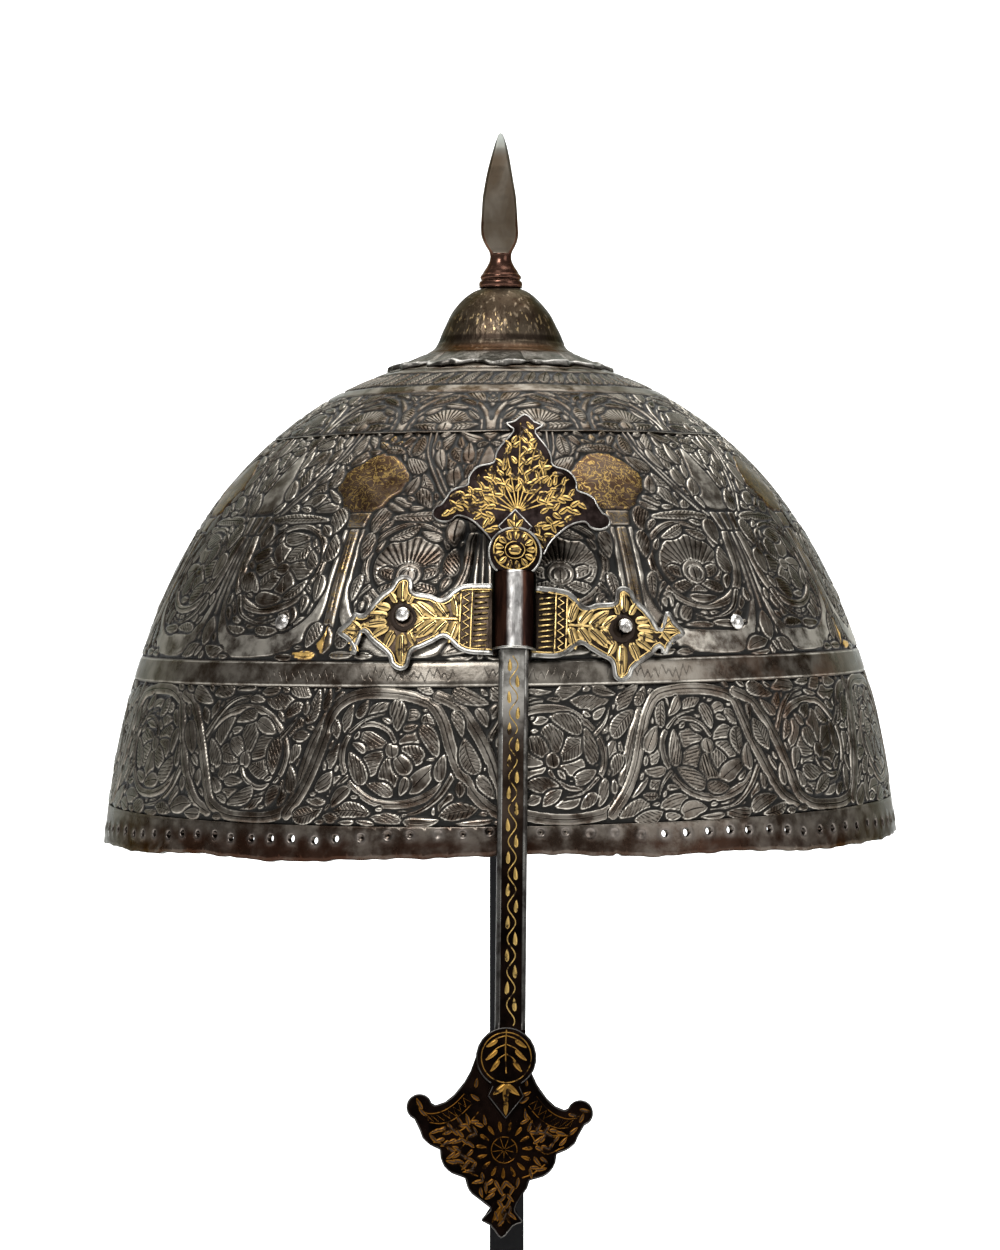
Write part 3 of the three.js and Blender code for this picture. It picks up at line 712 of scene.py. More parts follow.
def axis_place(azimuth, arc):
    """Axis number and fraction for each place."""
    place = np.empty(azimuth.shape)
    for row in range(azimuth.shape[0]):
        up = np.clip((arc[row, 0] - FIELD[0]) / (FIELD[1] - FIELD[0]), 0, 1.3)
        azimuths = FIELD_AXES[:, 2] + (FIELD_AXES[:, 1] - FIELD_AXES[:, 2]) * up
        place[row] = np.interp(azimuth[row], azimuths, FIELD_AXES[:, 0])
    return place


def mirrored_cell(place):
    """Number of the half-unit, and how far along it is from its A axis to its B axis."""
    number = np.floor(place).astype(int)
    share = place - number
    return number, np.where(number % 2 != 0, share, 1 - share)


def field_surface(panels, order):
    """order gives each half-unit's panel, by its number round the bowl."""
    def surface(azimuth, arc):
        number, share = mirrored_cell(axis_place(azimuth, arc))
        which = np.array(order)[number % AXES]
        height = np.zeros(azimuth.shape)
        layers = None
        for k, panel in enumerate(panels):
            h, found = panel.sample(share * HALF, arc)
            here = which == k
            height = np.where(here, h, height)
            layers = layers or found
            layers = {key: np.where(here, found[key], layers[key]) for key in layers}
        return height, layers

    return surface


# Arch band and the leaf band over it

ARCH = 19.6


def bar(panel, low, high, beyond, bevel):
    """A plain fillet across the arch panel."""
    left, right = -beyond, ARCH + beyond
    outline = [(left, low), (left, high), (right, high), (right, low)]
    panel.carve(shape(outline, rounded=0, bevel=bevel))


def arch_panel(seed):
    """Half an arch and the row of leaves over it."""
    rng = np.random.default_rng(seed)
    panel = Panel(-3, ARCH + 3, ARCHES[0], CROWN_TOP)
    middle = ARCH / 2
    arch = [(0.4, 117.0), (0.5, 121.5), (1.5, 126.5), (4.2, 131.4), (middle, 134.2)]
    inner = [(1.9, 118.4), (2.3, 123.0), (4.4, 127.6), (middle, 130.6)]
    for points, width in ((arch, 1.5), (inner, 0.9)):
        both = points + [(ARCH - x, y) for x, y in points[-2::-1]]
        panel.carve(stem(both, width, width, groove=False, moat=0.5))
    panel.carve(shape(oval(middle, 121.0, 6.0, 6.6), hatch=RADIAL_TICKS, centre=(middle, 120.0), bevel=0.5))
    for side in (12, 168):
        panel.carve(leaf(middle, 119.2, side, 7.6, 3.4, hatch=1.0))
    panel.carve(leaf(middle, 118.3, 90, 3.6, 3.4, form="round", hatch=0, top=0.05))
    bar(panel, 116, 118.2, 4, 0.3)
    for edge in (0, ARCH):
        panel.carve(leaf(edge, 128.0, 90, 6.6, 2.6, form="petal", hatch=0))
        for lean in (-38, 38):
            panel.carve(leaf(edge, 130.6, 90 + lean, 5.6, 1.9, form="leaf", hatch=0))
    panel.fill(-1, ARCH + 1, rng, y1=ARCHES[1] - 0.4, count=24, smallest=0.6)
    bar(panel, 136.0, 140.4, 5, 0.4)
    for k in range(-1, 6):
        foot = k * ARCH / 4 + rng.uniform(-0.2, 0.2)
        panel.carve(leaf(foot, 141.2, 62, 9.0, 3.9, 0.05, "leaf", hatch=0.95))
        panel.carve(leaf(foot + 2.0, 141.0, 38, 4.4, 1.8, 0.05, "almond", hatch=0))
    bar(panel, 149.4, 156, 5, 0.4)
    panel.soften()
    return panel


def arch_surface(panel):
    def surface(azimuth, arc):
        number, share = mirrored_cell(axis_place(azimuth, arc))
        leaning = np.where(arc > LEAVES[0] - 0.2, (axis_place(azimuth, arc) - number), share)
        return panel.sample(leaning * ARCH, arc)

    return surface


def script_surface(azimuth, arc):
    """The plain band, with faint zigzag scratches near the front."""
    x = np.radians(azimuth) * radius_at(arc)
    up = arc - SCRIPT[0]
    edge = np.minimum(up, SCRIPT[1] - arc)
    height = -0.28 * (1 - smooth(edge / 0.45))
    span = 1.9
    zigzag = np.abs(((x / span) % 1) - 0.5) * 2
    wander = 0.6 * np.sin(x * 0.9) + 0.4 * np.sin(x * 2.3)
    line = (up - 1.6 - 2.8 * zigzag + wander) * 0.55
    shown = 0.55 * np.exp(-((azimuth + 4) / 34) ** 4) * smooth((np.sin(x * 0.21) + 0.9) * 2)
    return height, {**bare(np.zeros(azimuth.shape)), "line": line, "shown": shown}


def bare(nothing):
    """The layers of metal with no carving on it."""
    return {"phase": nothing, "veins": nothing, "line": nothing + NO_LINE, "shown": nothing, "gilt": nothing}


def plain_surface(azimuth, arc):
    nothing = np.zeros(azimuth.shape)
    return nothing, bare(nothing)


# Rim band: one cell round each lacing hole

RIM_SIDE = 8
RIM_RINGS = [0.0, 0.07, 0.16, 0.3, 0.5, 0.75, 1.0]
# Closed holes near the front, by number to the right, and how deep the closing lies; a deep one is a
# near-black disc of painted shade inside the hole, a shallow one a filling
PLUGGED = {-6: -1.3, -5: -0.9, -4: -1.3, -3: -0.1, -2: -1.3, -1: -1.3, 0: -1.3, 1: -1.3,
           2: -1.1, 3: -0.1, 4: -0.05, 5: -0.1}


def lacing_hole(i):
    """Azimuth and arc length of a lacing hole's centre."""
    azimuth = 360 * (i + 0.5) / HOLES + HOLE_JITTER_DEGREES * repeatable(i, 1)
    inset = HOLE_INSET_BACK + (HOLE_INSET_FRONT - HOLE_INSET_BACK) * front_share(azimuth)
    return azimuth, arc_of_height(edge_height(azimuth) + inset + HOLE_JITTER_UP * repeatable(i, 2))


def worn_edge(azimuth):
    """Arc length of the lower edge, with chips and a notch to the right of the front."""
    a = np.radians(azimuth)
    chips = 0.12 * np.sin(47 * a) + 0.1 * np.sin(83 * a + 1) + 0.07 * np.sin(131 * a + 2)
    notch = 0.9 * np.exp(-((azimuth - 15.2) / 0.5) ** 2) + 0.5 * np.exp(-((azimuth + 29.5) / 1.1) ** 2)
    return arc_of_height(edge_height(azimuth)) + chips + notch


def rim_band():
    """Cells with a real hole each, their boundaries shared, as one closed ring."""
    around = HOLES * RIM_SIDE
    azimuths = 360 * np.arange(around) / around
    low, high = worn_edge(azimuths), tilted(azimuths, FRIEZE[0])
    heights = np.linspace(0, 1, RIM_SIDE + 1)
    places, attributes = [], []
    index = {}

    def vertex(key, azimuth, arc, out, ring, inside=0.0):
        if key not in index:
            index[key] = len(places)
            places.append(on_bowl(azimuth, arc, out + (hammering(azimuth, arc) if out > -1 else 0)))
            attributes.append((ring, inside))
        return index[key]

    def border(cell):
        """Keys, azimuths and arc lengths round a cell, anticlockwise from its lower left."""
        left, right = cell * RIM_SIDE, (cell + 1) * RIM_SIDE
        steps = [(left + k, 0) for k in range(RIM_SIDE)] + [(right, k) for k in range(RIM_SIDE)]
        steps += [(right - k, RIM_SIDE) for k in range(RIM_SIDE)]
        steps += [(left, RIM_SIDE - k) for k in range(RIM_SIDE)]
        found = []
        for column, row in steps:
            wrapped = column % around
            arc = low[wrapped] + (high[wrapped] - low[wrapped]) * heights[row]
            found.append(((wrapped, row), 360 * column / around, arc))
        return found

    quads, flats, fans = [], [], []
    for cell in range(HOLES):
        hole_azimuth, hole_arc = lacing_hole(cell)
        size = math.radians(1) * radius_at(hole_arc)
        signed = cell if cell < HOLES / 2 else cell - HOLES
        plugged = signed in PLUGGED
        wide = HOLE_SHRINK * HOLE_RADIUS * (1 + 0.14 * repeatable(cell, 5))
        edge = border(cell)
        count = len(edge)
        rounds = []
        for share in RIM_RINGS:
            ring_ids = []
            for key, azimuth, arc in edge:
                dx, dy = (azimuth - hole_azimuth) * size, arc - hole_arc
                reach = math.hypot(dx, dy)
                wobble = 1 + 0.06 * math.sin(3 * math.atan2(dy, dx) + cell)
                near = wide * wobble / reach
                blend = near + (1 - near) * share
                away = (reach * blend - wide) / 0.75
                burr = 0.16 * math.exp(-(away - 0.5) ** 2 * 3) - 0.12 * math.exp(-away * 5)
                if share == 1.0:
                    name, burr = ("out", key), 0.0
                else:
                    name = ("out", cell, share, key)
                spot = (hole_azimuth + dx * blend / size, hole_arc + dy * blend)
                ring_ids.append(vertex(name, *spot, burr, math.exp(-away ** 2)))
            rounds.append(ring_ids)
        inner = []
        for share in (0.0, 1.0):
            ring_ids = []
            for key, azimuth, arc in edge:
                dx, dy = (azimuth - hole_azimuth) * size, arc - hole_arc
                blend = share + (1 - share) * wide / math.hypot(dx, dy)
                name = ("in", key) if share else ("in", cell, key)
                ring_ids.append(vertex(
                    name, hole_azimuth + dx * blend / size, hole_arc + dy * blend, -WALL, 0.0, 1.0))
            inner.append(ring_ids)
        for a, b in zip(rounds, rounds[1:]):
            quads += [(b[k], b[(k + 1) % count], a[(k + 1) % count], a[k]) for k in range(count)]
        a, b = inner
        quads += [(a[k], a[(k + 1) % count], b[(k + 1) % count], b[k]) for k in range(count)]
        if plugged:
            deep = PLUGGED[signed]
            for ring_ids, out, turned in ((rounds[0], deep, False), (inner[0], -WALL, True)):
                # A deep plug's outer face gets ring -1, which the material paints near black: painted shade
                # inside the hole.
                shade = -1.0 if deep < -0.5 and not turned else 0.3
                middle = vertex(("plug", cell, out), hole_azimuth, hole_arc, out, shade, float(turned))
                for k in range(count):
                    pair = (ring_ids[k], ring_ids[(k + 1) % count])
                    fans.append((*(reversed(pair) if turned else pair), middle))
        else:
            a, b = rounds[0], inner[0]
            flats += [(a[k], a[(k + 1) % count], b[(k + 1) % count], b[k]) for k in range(count)]
        for k in range(RIM_SIDE):
            for row, turned in ((0, False), (RIM_SIDE, True)):
                one, two = (cell * RIM_SIDE + k) % around, (cell * RIM_SIDE + k + 1) % around
                ends = [index[("out", (one, row))], index[("in", (one, row))],
                        index[("in", (two, row))], index[("out", (two, row))]]
                flats.append(tuple(reversed(ends)) if turned else tuple(ends))
    ring, inside = np.array(attributes).T
    nothing = np.zeros(len(places))
    layers = {**bare(nothing), "ring": ring, "inside": inside, "relief": nothing + 1}
    return make_mesh("skull_rim", np.array(places), quads + flats, fans, flat_quads=len(flats),
                     attributes=layers)


# Materials

class Paint:
    """A small writer of shader nodes, ending in one Principled shader."""

    def __init__(self, name):
        self.material = bpy.data.materials.new(name)
        self.material.use_nodes = True
        self.tree = self.material.node_tree
        self.tree.nodes.clear()
        self.shader = self.tree.nodes.new("ShaderNodeBsdfPrincipled")
        output = self.tree.nodes.new("ShaderNodeOutputMaterial")
        self.tree.links.new(self.shader.outputs[0], output.inputs["Surface"])
        self.place = self.node("ShaderNodeTexCoord").outputs["Object"]

    def node(self, kind, **settings):
        made = self.tree.nodes.new(kind)
        for key, value in settings.items():
            setattr(made, key, value)
        return made

    def feed(self, socket, value):
        if isinstance(value, bpy.types.NodeSocket):
            self.tree.links.new(value, socket)
        elif isinstance(value, tuple) and len(value) == 3 and len(socket.default_value) == 4:
            socket.default_value = (*value, 1.0)
        else:
            socket.default_value = value

    def attribute(self, name):
        return self.node("ShaderNodeAttribute", attribute_name=name).outputs["Fac"]

    def math(self, operation, a, b=0.0, c=0.0, clamp=False):
        made = self.node("ShaderNodeMath", operation=operation, use_clamp=clamp)
        for socket, value in zip(made.inputs, (a, b, c)):
            self.feed(socket, value)
        return made.outputs[0]

    def remap(self, value, low, high, to_low=0.0, to_high=1.0, soft=True):
        made = self.node("ShaderNodeMapRange", interpolation_type="SMOOTHSTEP" if soft else "LINEAR")
        for socket, number in zip(made.inputs, (value, low, high, to_low, to_high)):
            self.feed(socket, number)
        return made.outputs[0]

    def mix(self, share, a, b):
        made = self.node("ShaderNodeMix", data_type="RGBA")
        self.feed(made.inputs[0], share)
        self.feed(made.inputs[6], a)
        self.feed(made.inputs[7], b)
        return made.outputs[2]

    def times(self, a, b, **more):
        return self.math("MULTIPLY", a, b, **more)

    def shade(self, value, low, high, a, b):
        """From one colour to another as a value rises."""
        return self.mix(self.remap(value, low, high), a, b)

    def noise(self, scale, detail=3.0, roughness=0.55, distortion=0.0, stretch=None):
        made = self.node("ShaderNodeTexNoise")
        place = self.place
        if stretch:
            mapping = self.node("ShaderNodeMapping")
            self.feed(mapping.inputs["Vector"], place)
            mapping.inputs["Scale"].default_value = stretch
            place = mapping.outputs[0]
        self.feed(made.inputs["Vector"], place)
        for key, value in (("Scale", scale), ("Detail", detail), ("Roughness", roughness),
                           ("Distortion", distortion)):
            made.inputs[key].default_value = value
        return made.outputs["Fac"]

    def axes(self):
        """x, y and z of each place, in metres."""
        apart = self.node("ShaderNodeSeparateXYZ")
        self.feed(apart.inputs[0], self.place)
        return apart.outputs

    def bump(self, height, strength, distance, before=None):
        made = self.node("ShaderNodeBump")
        made.inputs["Strength"].default_value = strength
        made.inputs["Distance"].default_value = distance
        self.feed(made.inputs["Height"], height)
        if before is not None:
            self.feed(made.inputs["Normal"], before)
        return made.outputs[0]

    def finish(self, colour, metallic, roughness, normal=None, **constants):
        self.feed(self.shader.inputs["Base Color"], colour)
        self.feed(self.shader.inputs["Metallic"], metallic)
        self.feed(self.shader.inputs["Roughness"], roughness)
        if normal is not None:
            self.feed(self.shader.inputs["Normal"], normal)
        for key, value in constants.items():
            self.feed(self.shader.inputs[key.replace("_", " ")], value)
        return self.material


DIM = (0.42, 0.44, 0.42)
GOLD = (0.78, 0.50, 0.16)
OLD_GOLD = (0.25, 0.165, 0.055)


def bowl_steel():
    p = Paint("bowl_steel")
    relief = p.attribute("relief")
    wave = p.math("COSINE", p.times(p.attribute("phase"), 2 * math.pi))
    veins = p.times(p.attribute("veins"), p.math("POWER", p.math("MULTIPLY_ADD", wave, 0.5, 0.5), 2.4))
    beside_rib = p.math("ABSOLUTE", p.attribute("line"))
    rib = p.times(p.attribute("shown"), p.remap(beside_rib, 0.05, 0.24, 1, 0))
    engraved = p.math("MAXIMUM", veins, rib)
    patches = p.noise(26, 4, 0.6, 0.4)
    mottle = p.noise(160, 5, 0.65)
    fine = p.noise(900, 4, 0.6)
    raised = p.remap(relief, 0.36, 0.9)
    dark, mid, bright = (0.0045, 0.0035, 0.003), (0.092, 0.079, 0.065), (0.54, 0.505, 0.44)
    brown, russet = (0.042, 0.030, 0.022), (0.028, 0.012, 0.007)
    x, _, z = p.axes()
    middle = p.math("ABSOLUTE", p.math("ADD", x, 0.004))
    # Brown patches of patina, and a darker brown over the top of the centre (crown) that is painted shade,
    # standing for a darker reflection there.
    crown = p.times(p.remap(middle, 0.058, 0.022), p.remap(z, 0.200, 0.245))
    brown_patches_and_crown_shade = p.math("MAXIMUM", p.remap(patches, 0.40, 0.58), crown)
    steel = p.mix(brown_patches_and_crown_shade, mid, brown)
    worn = p.times(p.remap(relief, 0.86, 1.04), p.remap(mottle, 0.38, 0.66))
    steel = p.mix(p.times(worn, 0.25), steel, bright)
    # Painted highlight: a thin bright line along the bevelled edges of the raised carving, fainter over the
    # top of the centre and on the left.
    painted_edge_highlight = p.times(p.remap(relief, 0.62, 0.84), p.remap(relief, 0.90, 0.985, 1, 0))
    painted_edge_highlight = p.times(painted_edge_highlight, p.remap(mottle, 0.36, 0.62, 0.06, 0.9))
    painted_edge_highlight = p.times(painted_edge_highlight, p.remap(crown, 0, 1, 1.0, 0.16))
    painted_edge_highlight = p.times(painted_edge_highlight, p.remap(x, -0.085, -0.035, 0.5, 1.0))
    steel = p.mix(painted_edge_highlight, steel, bright)
    near_rim = p.remap(z, (RIM_LEVEL + 9.5) * MM, (RIM_LEVEL + 11.5) * MM, 1, 0)
    patchy = p.noise(48, 5, 0.62, 0.8)
    right = p.remap(x, 40 * MM, 75 * MM)
    band = p.remap(p.math("ABSOLUTE", p.math("SUBTRACT", z, (RIM_LEVEL + 45) * MM)), 0.0, 0.032, 0.75, 0.1)
    side_share = p.times(p.times(right, band), p.remap(patchy, 0.46, 0.66))
    low_rim = p.times(near_rim, p.remap(z, (RIM_LEVEL + 8.6) * MM, (RIM_LEVEL + 6.0) * MM, 0.35, 0.95))
    low_share = p.times(low_rim, p.remap(patchy, 0.34, 0.58, 0.45, 1.0))
    steel = p.mix(side_share, steel, (0.120, 0.070, 0.046))
    steel = p.mix(low_share, steel, russet)
    # The cut-back ground is near black: partly patina in the hollows, partly painted shade there.
    colour = p.mix(raised, dark, steel)
    colour = p.mix(p.times(engraved, 0.9), colour, dark)
    ring = p.attribute("ring")
    # Near black where ring is below zero: painted shade on the deep plugs inside the lacing holes.
    colour = p.shade(ring, -0.05, -0.5, colour, dark)
    worn_ring = p.times(ring, p.remap(mottle, 0.3, 0.6, 0.2, 0.8), clamp=True)
    colour = p.mix(worn_ring, colour, (0.15, 0.132, 0.118))
    gilt = p.attribute("gilt")
    squiggle = p.noise(430, 1.5, 0.5, 1.8)
    thread = p.remap(p.math("ABSOLUTE", p.math("SUBTRACT", squiggle, 0.5)), 0.016, 0.042, 1, 0)
    thread = p.times(thread, p.remap(patchy, 0.36, 0.6, 0.35, 1.0))
    inlay = p.times(p.remap(gilt, 0.05, 0.8, 0, 1, False), thread)
    leafed = p.times(p.remap(gilt, 0.9, 1.3), p.remap(mottle, 0.3, 0.5))
    inlay = p.math("MAXIMUM", inlay, leafed, clamp=True)
    colour = p.mix(p.times(p.remap(gilt, 0.3, 0.8), 0.8), colour, (0.042, 0.022, 0.012))
    gold = p.shade(gilt, 0.95, 1.2, OLD_GOLD, GOLD)
    colour = p.mix(p.times(inlay, raised), colour, gold)
    colour = p.mix(p.attribute("inside"), colour, (0.028, 0.021, 0.017))
    roughness = p.remap(mottle, 0.3, 0.7, 0.25, 0.42)
    roughness = p.math("ADD", roughness, p.remap(raised, 0, 1, 0.3, 0.0))
    metallic = p.remap(raised, 0, 1, 0.2, 1.0)
    tilt = p.bump(p.times(engraved, -1.0), 0.55, 0.00022)
    tilt = p.bump(fine, 0.16, 0.0002, tilt)
    tilt = p.bump(mottle, 0.2, 0.0006, tilt)
    return p.finish(colour, metallic, roughness, tilt, Specular_Tint=DIM)


def simple_steel(name, dark, light, roughness=(0.28, 0.45), scale=120, bump=0.2):
    p = Paint(name)
    mottle = p.noise(scale, 5, 0.62, 0.3)
    fine = p.noise(scale * 7, 3, 0.6)
    colour = p.shade(mottle, 0.36, 0.64, dark, light)
    tilt = p.bump(fine, bump, 0.0002, p.bump(mottle, bump, 0.0005))
    return p.finish(colour, 1.0, p.remap(fine, 0.3, 0.7, *roughness), tilt)


def black_paint():
    p = Paint("black_paint")
    grain = p.noise(700, 3, 0.6)
    cloud = p.noise(30, 3)
    colour = p.shade(cloud, 0.35, 0.65, (0.0035, 0.0035, 0.004), (0.007, 0.007, 0.008))
    return p.finish(colour, 0.0, p.remap(grain, 0.3, 0.7, 0.5, 0.62), p.bump(grain, 0.15, 0.0002),
                    Specular_IOR_Level=0.12)


def pale_floor():
    p = Paint("pale_floor")
    cloud = p.noise(2.0, 2)
    colour = p.mix(cloud, (0.90, 0.90, 0.90), (0.93, 0.93, 0.93))
    return p.finish(colour, 0.0, 0.8, Emission_Color=(1.0, 1.0, 1.0), Emission_Strength=0.25)


# Stage, lights and camera

CAMERA_HEIGHT = 220.7
CAMERA_BACK = 825.0
CAMERA_PITCH = 1.0
CAMERA_SIDE = -0.19
LENS = 88.4


def stage():
    """Pale floor that runs up into a wall behind."""
    near, far, bend, top, side = -2.2, 1.7, 0.5, 2.6, 2.6
    profile = [(near, 0.0), (0.0, 0.0), (far - bend, 0.0)]
    for a in np.linspace(0.15, 1.57, 10):
        profile.append((far - bend + bend * math.sin(a), bend - bend * math.cos(a)))
    profile.append((far, top))
    places = [(x, y, z) for x in (-side, side) for y, z in profile]
    n = len(profile)
    quads = [(k, n + k, n + k + 1, k + 1) for k in range(n - 1)]
    floor = make_mesh("floor", np.array(places), quads)
    floor.data.materials.append(pale_floor())


def area_light(name, place, aim, size, power):
    data = bpy.data.lights.new(name, "AREA")
    data.shape = "RECTANGLE"
    data.size, data.size_y = size
    data.energy = power
    light = bpy.data.objects.new(name, data)
    light.location = place
    light.rotation_euler = (Vector(aim) - Vector(place)).to_track_quat("-Z", "Y").to_euler()
    bpy.context.scene.collection.objects.link(light)


def lights():
    aim = (0, 0, 0.22)
    area_light("key", (-0.45, -1.2, 1.5), aim, (0.5, 0.5), 27)
    area_light("fill", (1.3, -1.0, 0.9), aim, (0.8, 1.0), 9)
    area_light("top", (0.1, 0.2, 1.9), aim, (1.4, 1.0), 26)
    area_light("backdrop", (0, 0.9, 2.2), (0, 1.7, 0.4), (2.6, 0.6), 42)
    world = bpy.data.worlds.new("studio")
    world.use_nodes = True
    world.node_tree.nodes["Background"].inputs["Color"].default_value = (1.0, 1.0, 1.0, 1.0)
    world.node_tree.nodes["Background"].inputs["Strength"].default_value = 0.42
    bpy.context.scene.world = world
    bpy.context.scene.view_settings.view_transform = "Standard"


def camera():
    data = bpy.data.cameras.new("camera")
    data.sensor_width = 36.0
    data.lens = LENS
    data.clip_start, data.clip_end = 0.05, 20
    view = bpy.data.objects.new("camera", data)
    view.location = ((HELMET_X + CAMERA_SIDE) * MM, -CAMERA_BACK * MM, CAMERA_HEIGHT * MM)
    view.rotation_euler = (math.radians(90 - CAMERA_PITCH), 0, 0)
    bpy.context.scene.collection.objects.link(view)
    bpy.context.scene.camera = view


def dress(piece, material, body):
    """Gives a piece its material, and a piece not from model.glb its body."""
    piece.data.materials.clear()
    piece.data.materials.append(material)
    if piece.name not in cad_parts:
        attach(piece, body)
    return piece


def relief_of(surface):
    """Adds the height as a share of the cut, for the material."""
    def found(azimuth, arc):
        height, layers = surface(azimuth, arc)
        return height, {**layers, "relief": height / -GROUND + 1, "ring": np.zeros(azimuth.shape)}
    return found


# How far apart a piece's mesh lines run, and where the front pieces end
FINE = 0.42
BACK = 0.6
BAND_FINE = 0.55
BAND_BACK = 0.8
PLAIN = 2.0
SIDE_SEAM = 92


def skull(material):
    """The bowl as twelve joined pieces, which stand in for the solid."""
    frieze = relief_of(frieze_surface(frieze_panel()))
    panels = [field_panel("flower", 11), field_panel("disc", 12), field_panel("flower", 13, 0.9)]
    order = [1, 1, 0, 2, 0, 1, 2, 0, 1, 2, 0, 1, 0, 0, 2, 1]
    field = relief_of(field_surface(panels, order))
    crown = relief_of(arch_surface(arch_panel(21)))
    script, plain = relief_of(script_surface), relief_of(plain_surface)
    front, back = (-SIDE_SEAM, SIDE_SEAM), (SIDE_SEAM, 360 - SIDE_SEAM)
    pieces = [
        rim_band(),
        slab("skull_frieze_front", front, FRIEZE, FINE, frieze),
        slab("skull_frieze_back", back, FRIEZE, BACK, frieze),
        slab("skull_band_front", front, SCRIPT, BAND_FINE, script),
        slab("skull_band_back", back, SCRIPT, BAND_BACK, script),
        slab("skull_field_left", (-SIDE_SEAM, 0), FIELD, FINE, field),
        slab("skull_field_right", (0, SIDE_SEAM), FIELD, FINE, field),
        slab("skull_field_back", back, FIELD, BACK, field),
        slab("skull_crown_front", front, (ARCHES[0], CROWN_TOP), FINE, crown),
        slab("skull_crown_back", back, (ARCHES[0], CROWN_TOP), BACK, crown),
        slab("skull_top_front", front, (CROWN_TOP, UNDER_CAP), PLAIN, plain),
        slab("skull_top_back", back, (CROWN_TOP, UNDER_CAP), PLAIN, plain),
    ]
    for piece in pieces:
        dress(piece, material, "root")
    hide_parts("skull")


# Places on the nose guard and its bracket, in the solids' own frames

GUIDE_HEIGHT = 60.9
BAR_LEAN = 12.5
BAR_SIDE_LEAN = -1.0
BAR_AT_GUIDE = -108.2
WING_LEAN = -3.0
LOOP_LEAN = -0.8
BAR_FACE = 2.8
PLATE_FACE = 1.8
BEND = 90.0
UPPER_AT = 14.1
LOWER_AT = -105.2
STOP = 9.8
WING_FACE = 1.75
BRACKET_WING = [
    (5, 6.6), (10.4, 6.3), (12.9, 5.8), (14.9, 4.4), (16.2, 3), (17.8, 2.4), (20, 3.2), (23.6, 3.6),
    (24.3, 4.4), (24.4, 6.2), (25.4, 7.4), (27, 7.5), (28.6, 6.5), (29.8, 4.4), (32, 2.6), (34.2, -0.1),
    (35.6, -2), (36.8, -0.3), (38, -0.1), (39.4, -2), (41.9, -5), (39.4, -6.9), (38.2, -8.5),
    (37.6, -9.9), (36.2, -8.3), (35.6, -6.7), (33.7, -8.6), (31.4, -10.3), (29.5, -11.9),
    (28.8, -13.7), (27.4, -14.9), (25.8, -15.1), (24.4, -13.9), (23.6, -10.7), (21.4, -9.5),
    (18.8, -8.1), (16.6, -6.8), (15, -7.6), (12.8, -9.4), (10, -10.3), (4.6, -10.3),
]
PALMETTE_HALF = [(6, 0), (7.1, 3.4), (8.4, 5.9), (10.7, 8.9), (12.7, 10.6), (14.8, 11.4)]
PALMETTE_HALF += [
    (18.5 + 3 * math.cos(math.radians(a)), 12 + 3 * math.sin(math.radians(a))) for a in range(200, 431, 23)
]
PALMETTE_HALF += [
    (18.2, 17.3), (17.5, 19), (15.7, 20.5), (13.4, 21.5), (13.2, 23.3), (12.3, 25.2), (10.5, 26.7),
    (7.4, 27.7), (6.9, 29.4), (5.8, 31.1), (2.9, 34.1), (3.8, 35.6), (4.7, 37.1), (2.6, 38.1),
]
SQUAT = np.array([(0, 0), (12, 9), (14.2, 11.05), (21.5, 17.1), (27.7, 23.6), (34.1, 32.8), (40.9, 38.5)])


def spun(x, y, degrees):
    """Places turned about the origin."""
    c, s = math.cos(math.radians(degrees)), math.sin(math.radians(degrees))
    return x * c - y * s, x * s + y * c


def front_place(x, y, z):
    """Metres in the scene, for a front that is turned a little to the right."""
    x, y = spun(x, y, FRONT_TURN)
    return np.stack([HELMET_X + x, y, RIM_LEVEL + z], axis=-1) * MM


def slide_place(x, y, z):
    """x across, y up along the bar, z out from its back face."""
    c, s = math.sin(math.radians(BAR_LEAN)), math.cos(math.radians(BAR_LEAN))
    back = GUIDE_HEIGHT * math.tan(math.radians(BAR_LEAN)) + BAR_AT_GUIDE
    return front_place(x, y * c - z * s + back, GUIDE_HEIGHT + y * s + z * c)


def bar_place(u, v, h):
    return slide_place(*spun(u, v, BAR_SIDE_LEAN), BAR_FACE + h)


def upper_place(lean, shift, face):
    """Over the bent upper end: v is the distance along it from its roundel's centre."""
    def place(u, v, h):
        eased = np.where(v > 0, BEND * np.sin(v / BEND), v)
        x, y = spun(u + shift, eased, lean)
        y = y + UPPER_AT
        out = BEND + face + h
        rise = np.clip((y - STOP) / out, 0, 0.9)
        z = np.where(y > STOP, out * np.sqrt(1 - rise ** 2) - BEND, face + h)
        return slide_place(*spun(x, y, BAR_SIDE_LEAN), z)
    return place


def lower_place(lean, shift, moved, face):
    """Over the lower end: v runs down from its roundel's centre."""
    def place(u, v, h):
        x, y = spun(u + shift, v, 180 + lean)
        return slide_place(*spun(x + moved, y + LOWER_AT, BAR_SIDE_LEAN), face + h)
    return place


def wing_place(u, v, h):
    """Over the bracket's plate, which hugs the bowl."""
    x, z = spun(u, v, WING_LEAN)
    z = z + GUIDE_HEIGHT
    flat = ARC_Z + WING_FACE * NORMAL_Z
    r = np.interp(z, flat, ARC_R + WING_FACE * NORMAL_R) + h * np.interp(z, flat, NORMAL_R)
    return front_place(x, -np.sqrt(np.maximum(r ** 2 - x ** 2, 1.0)), z)


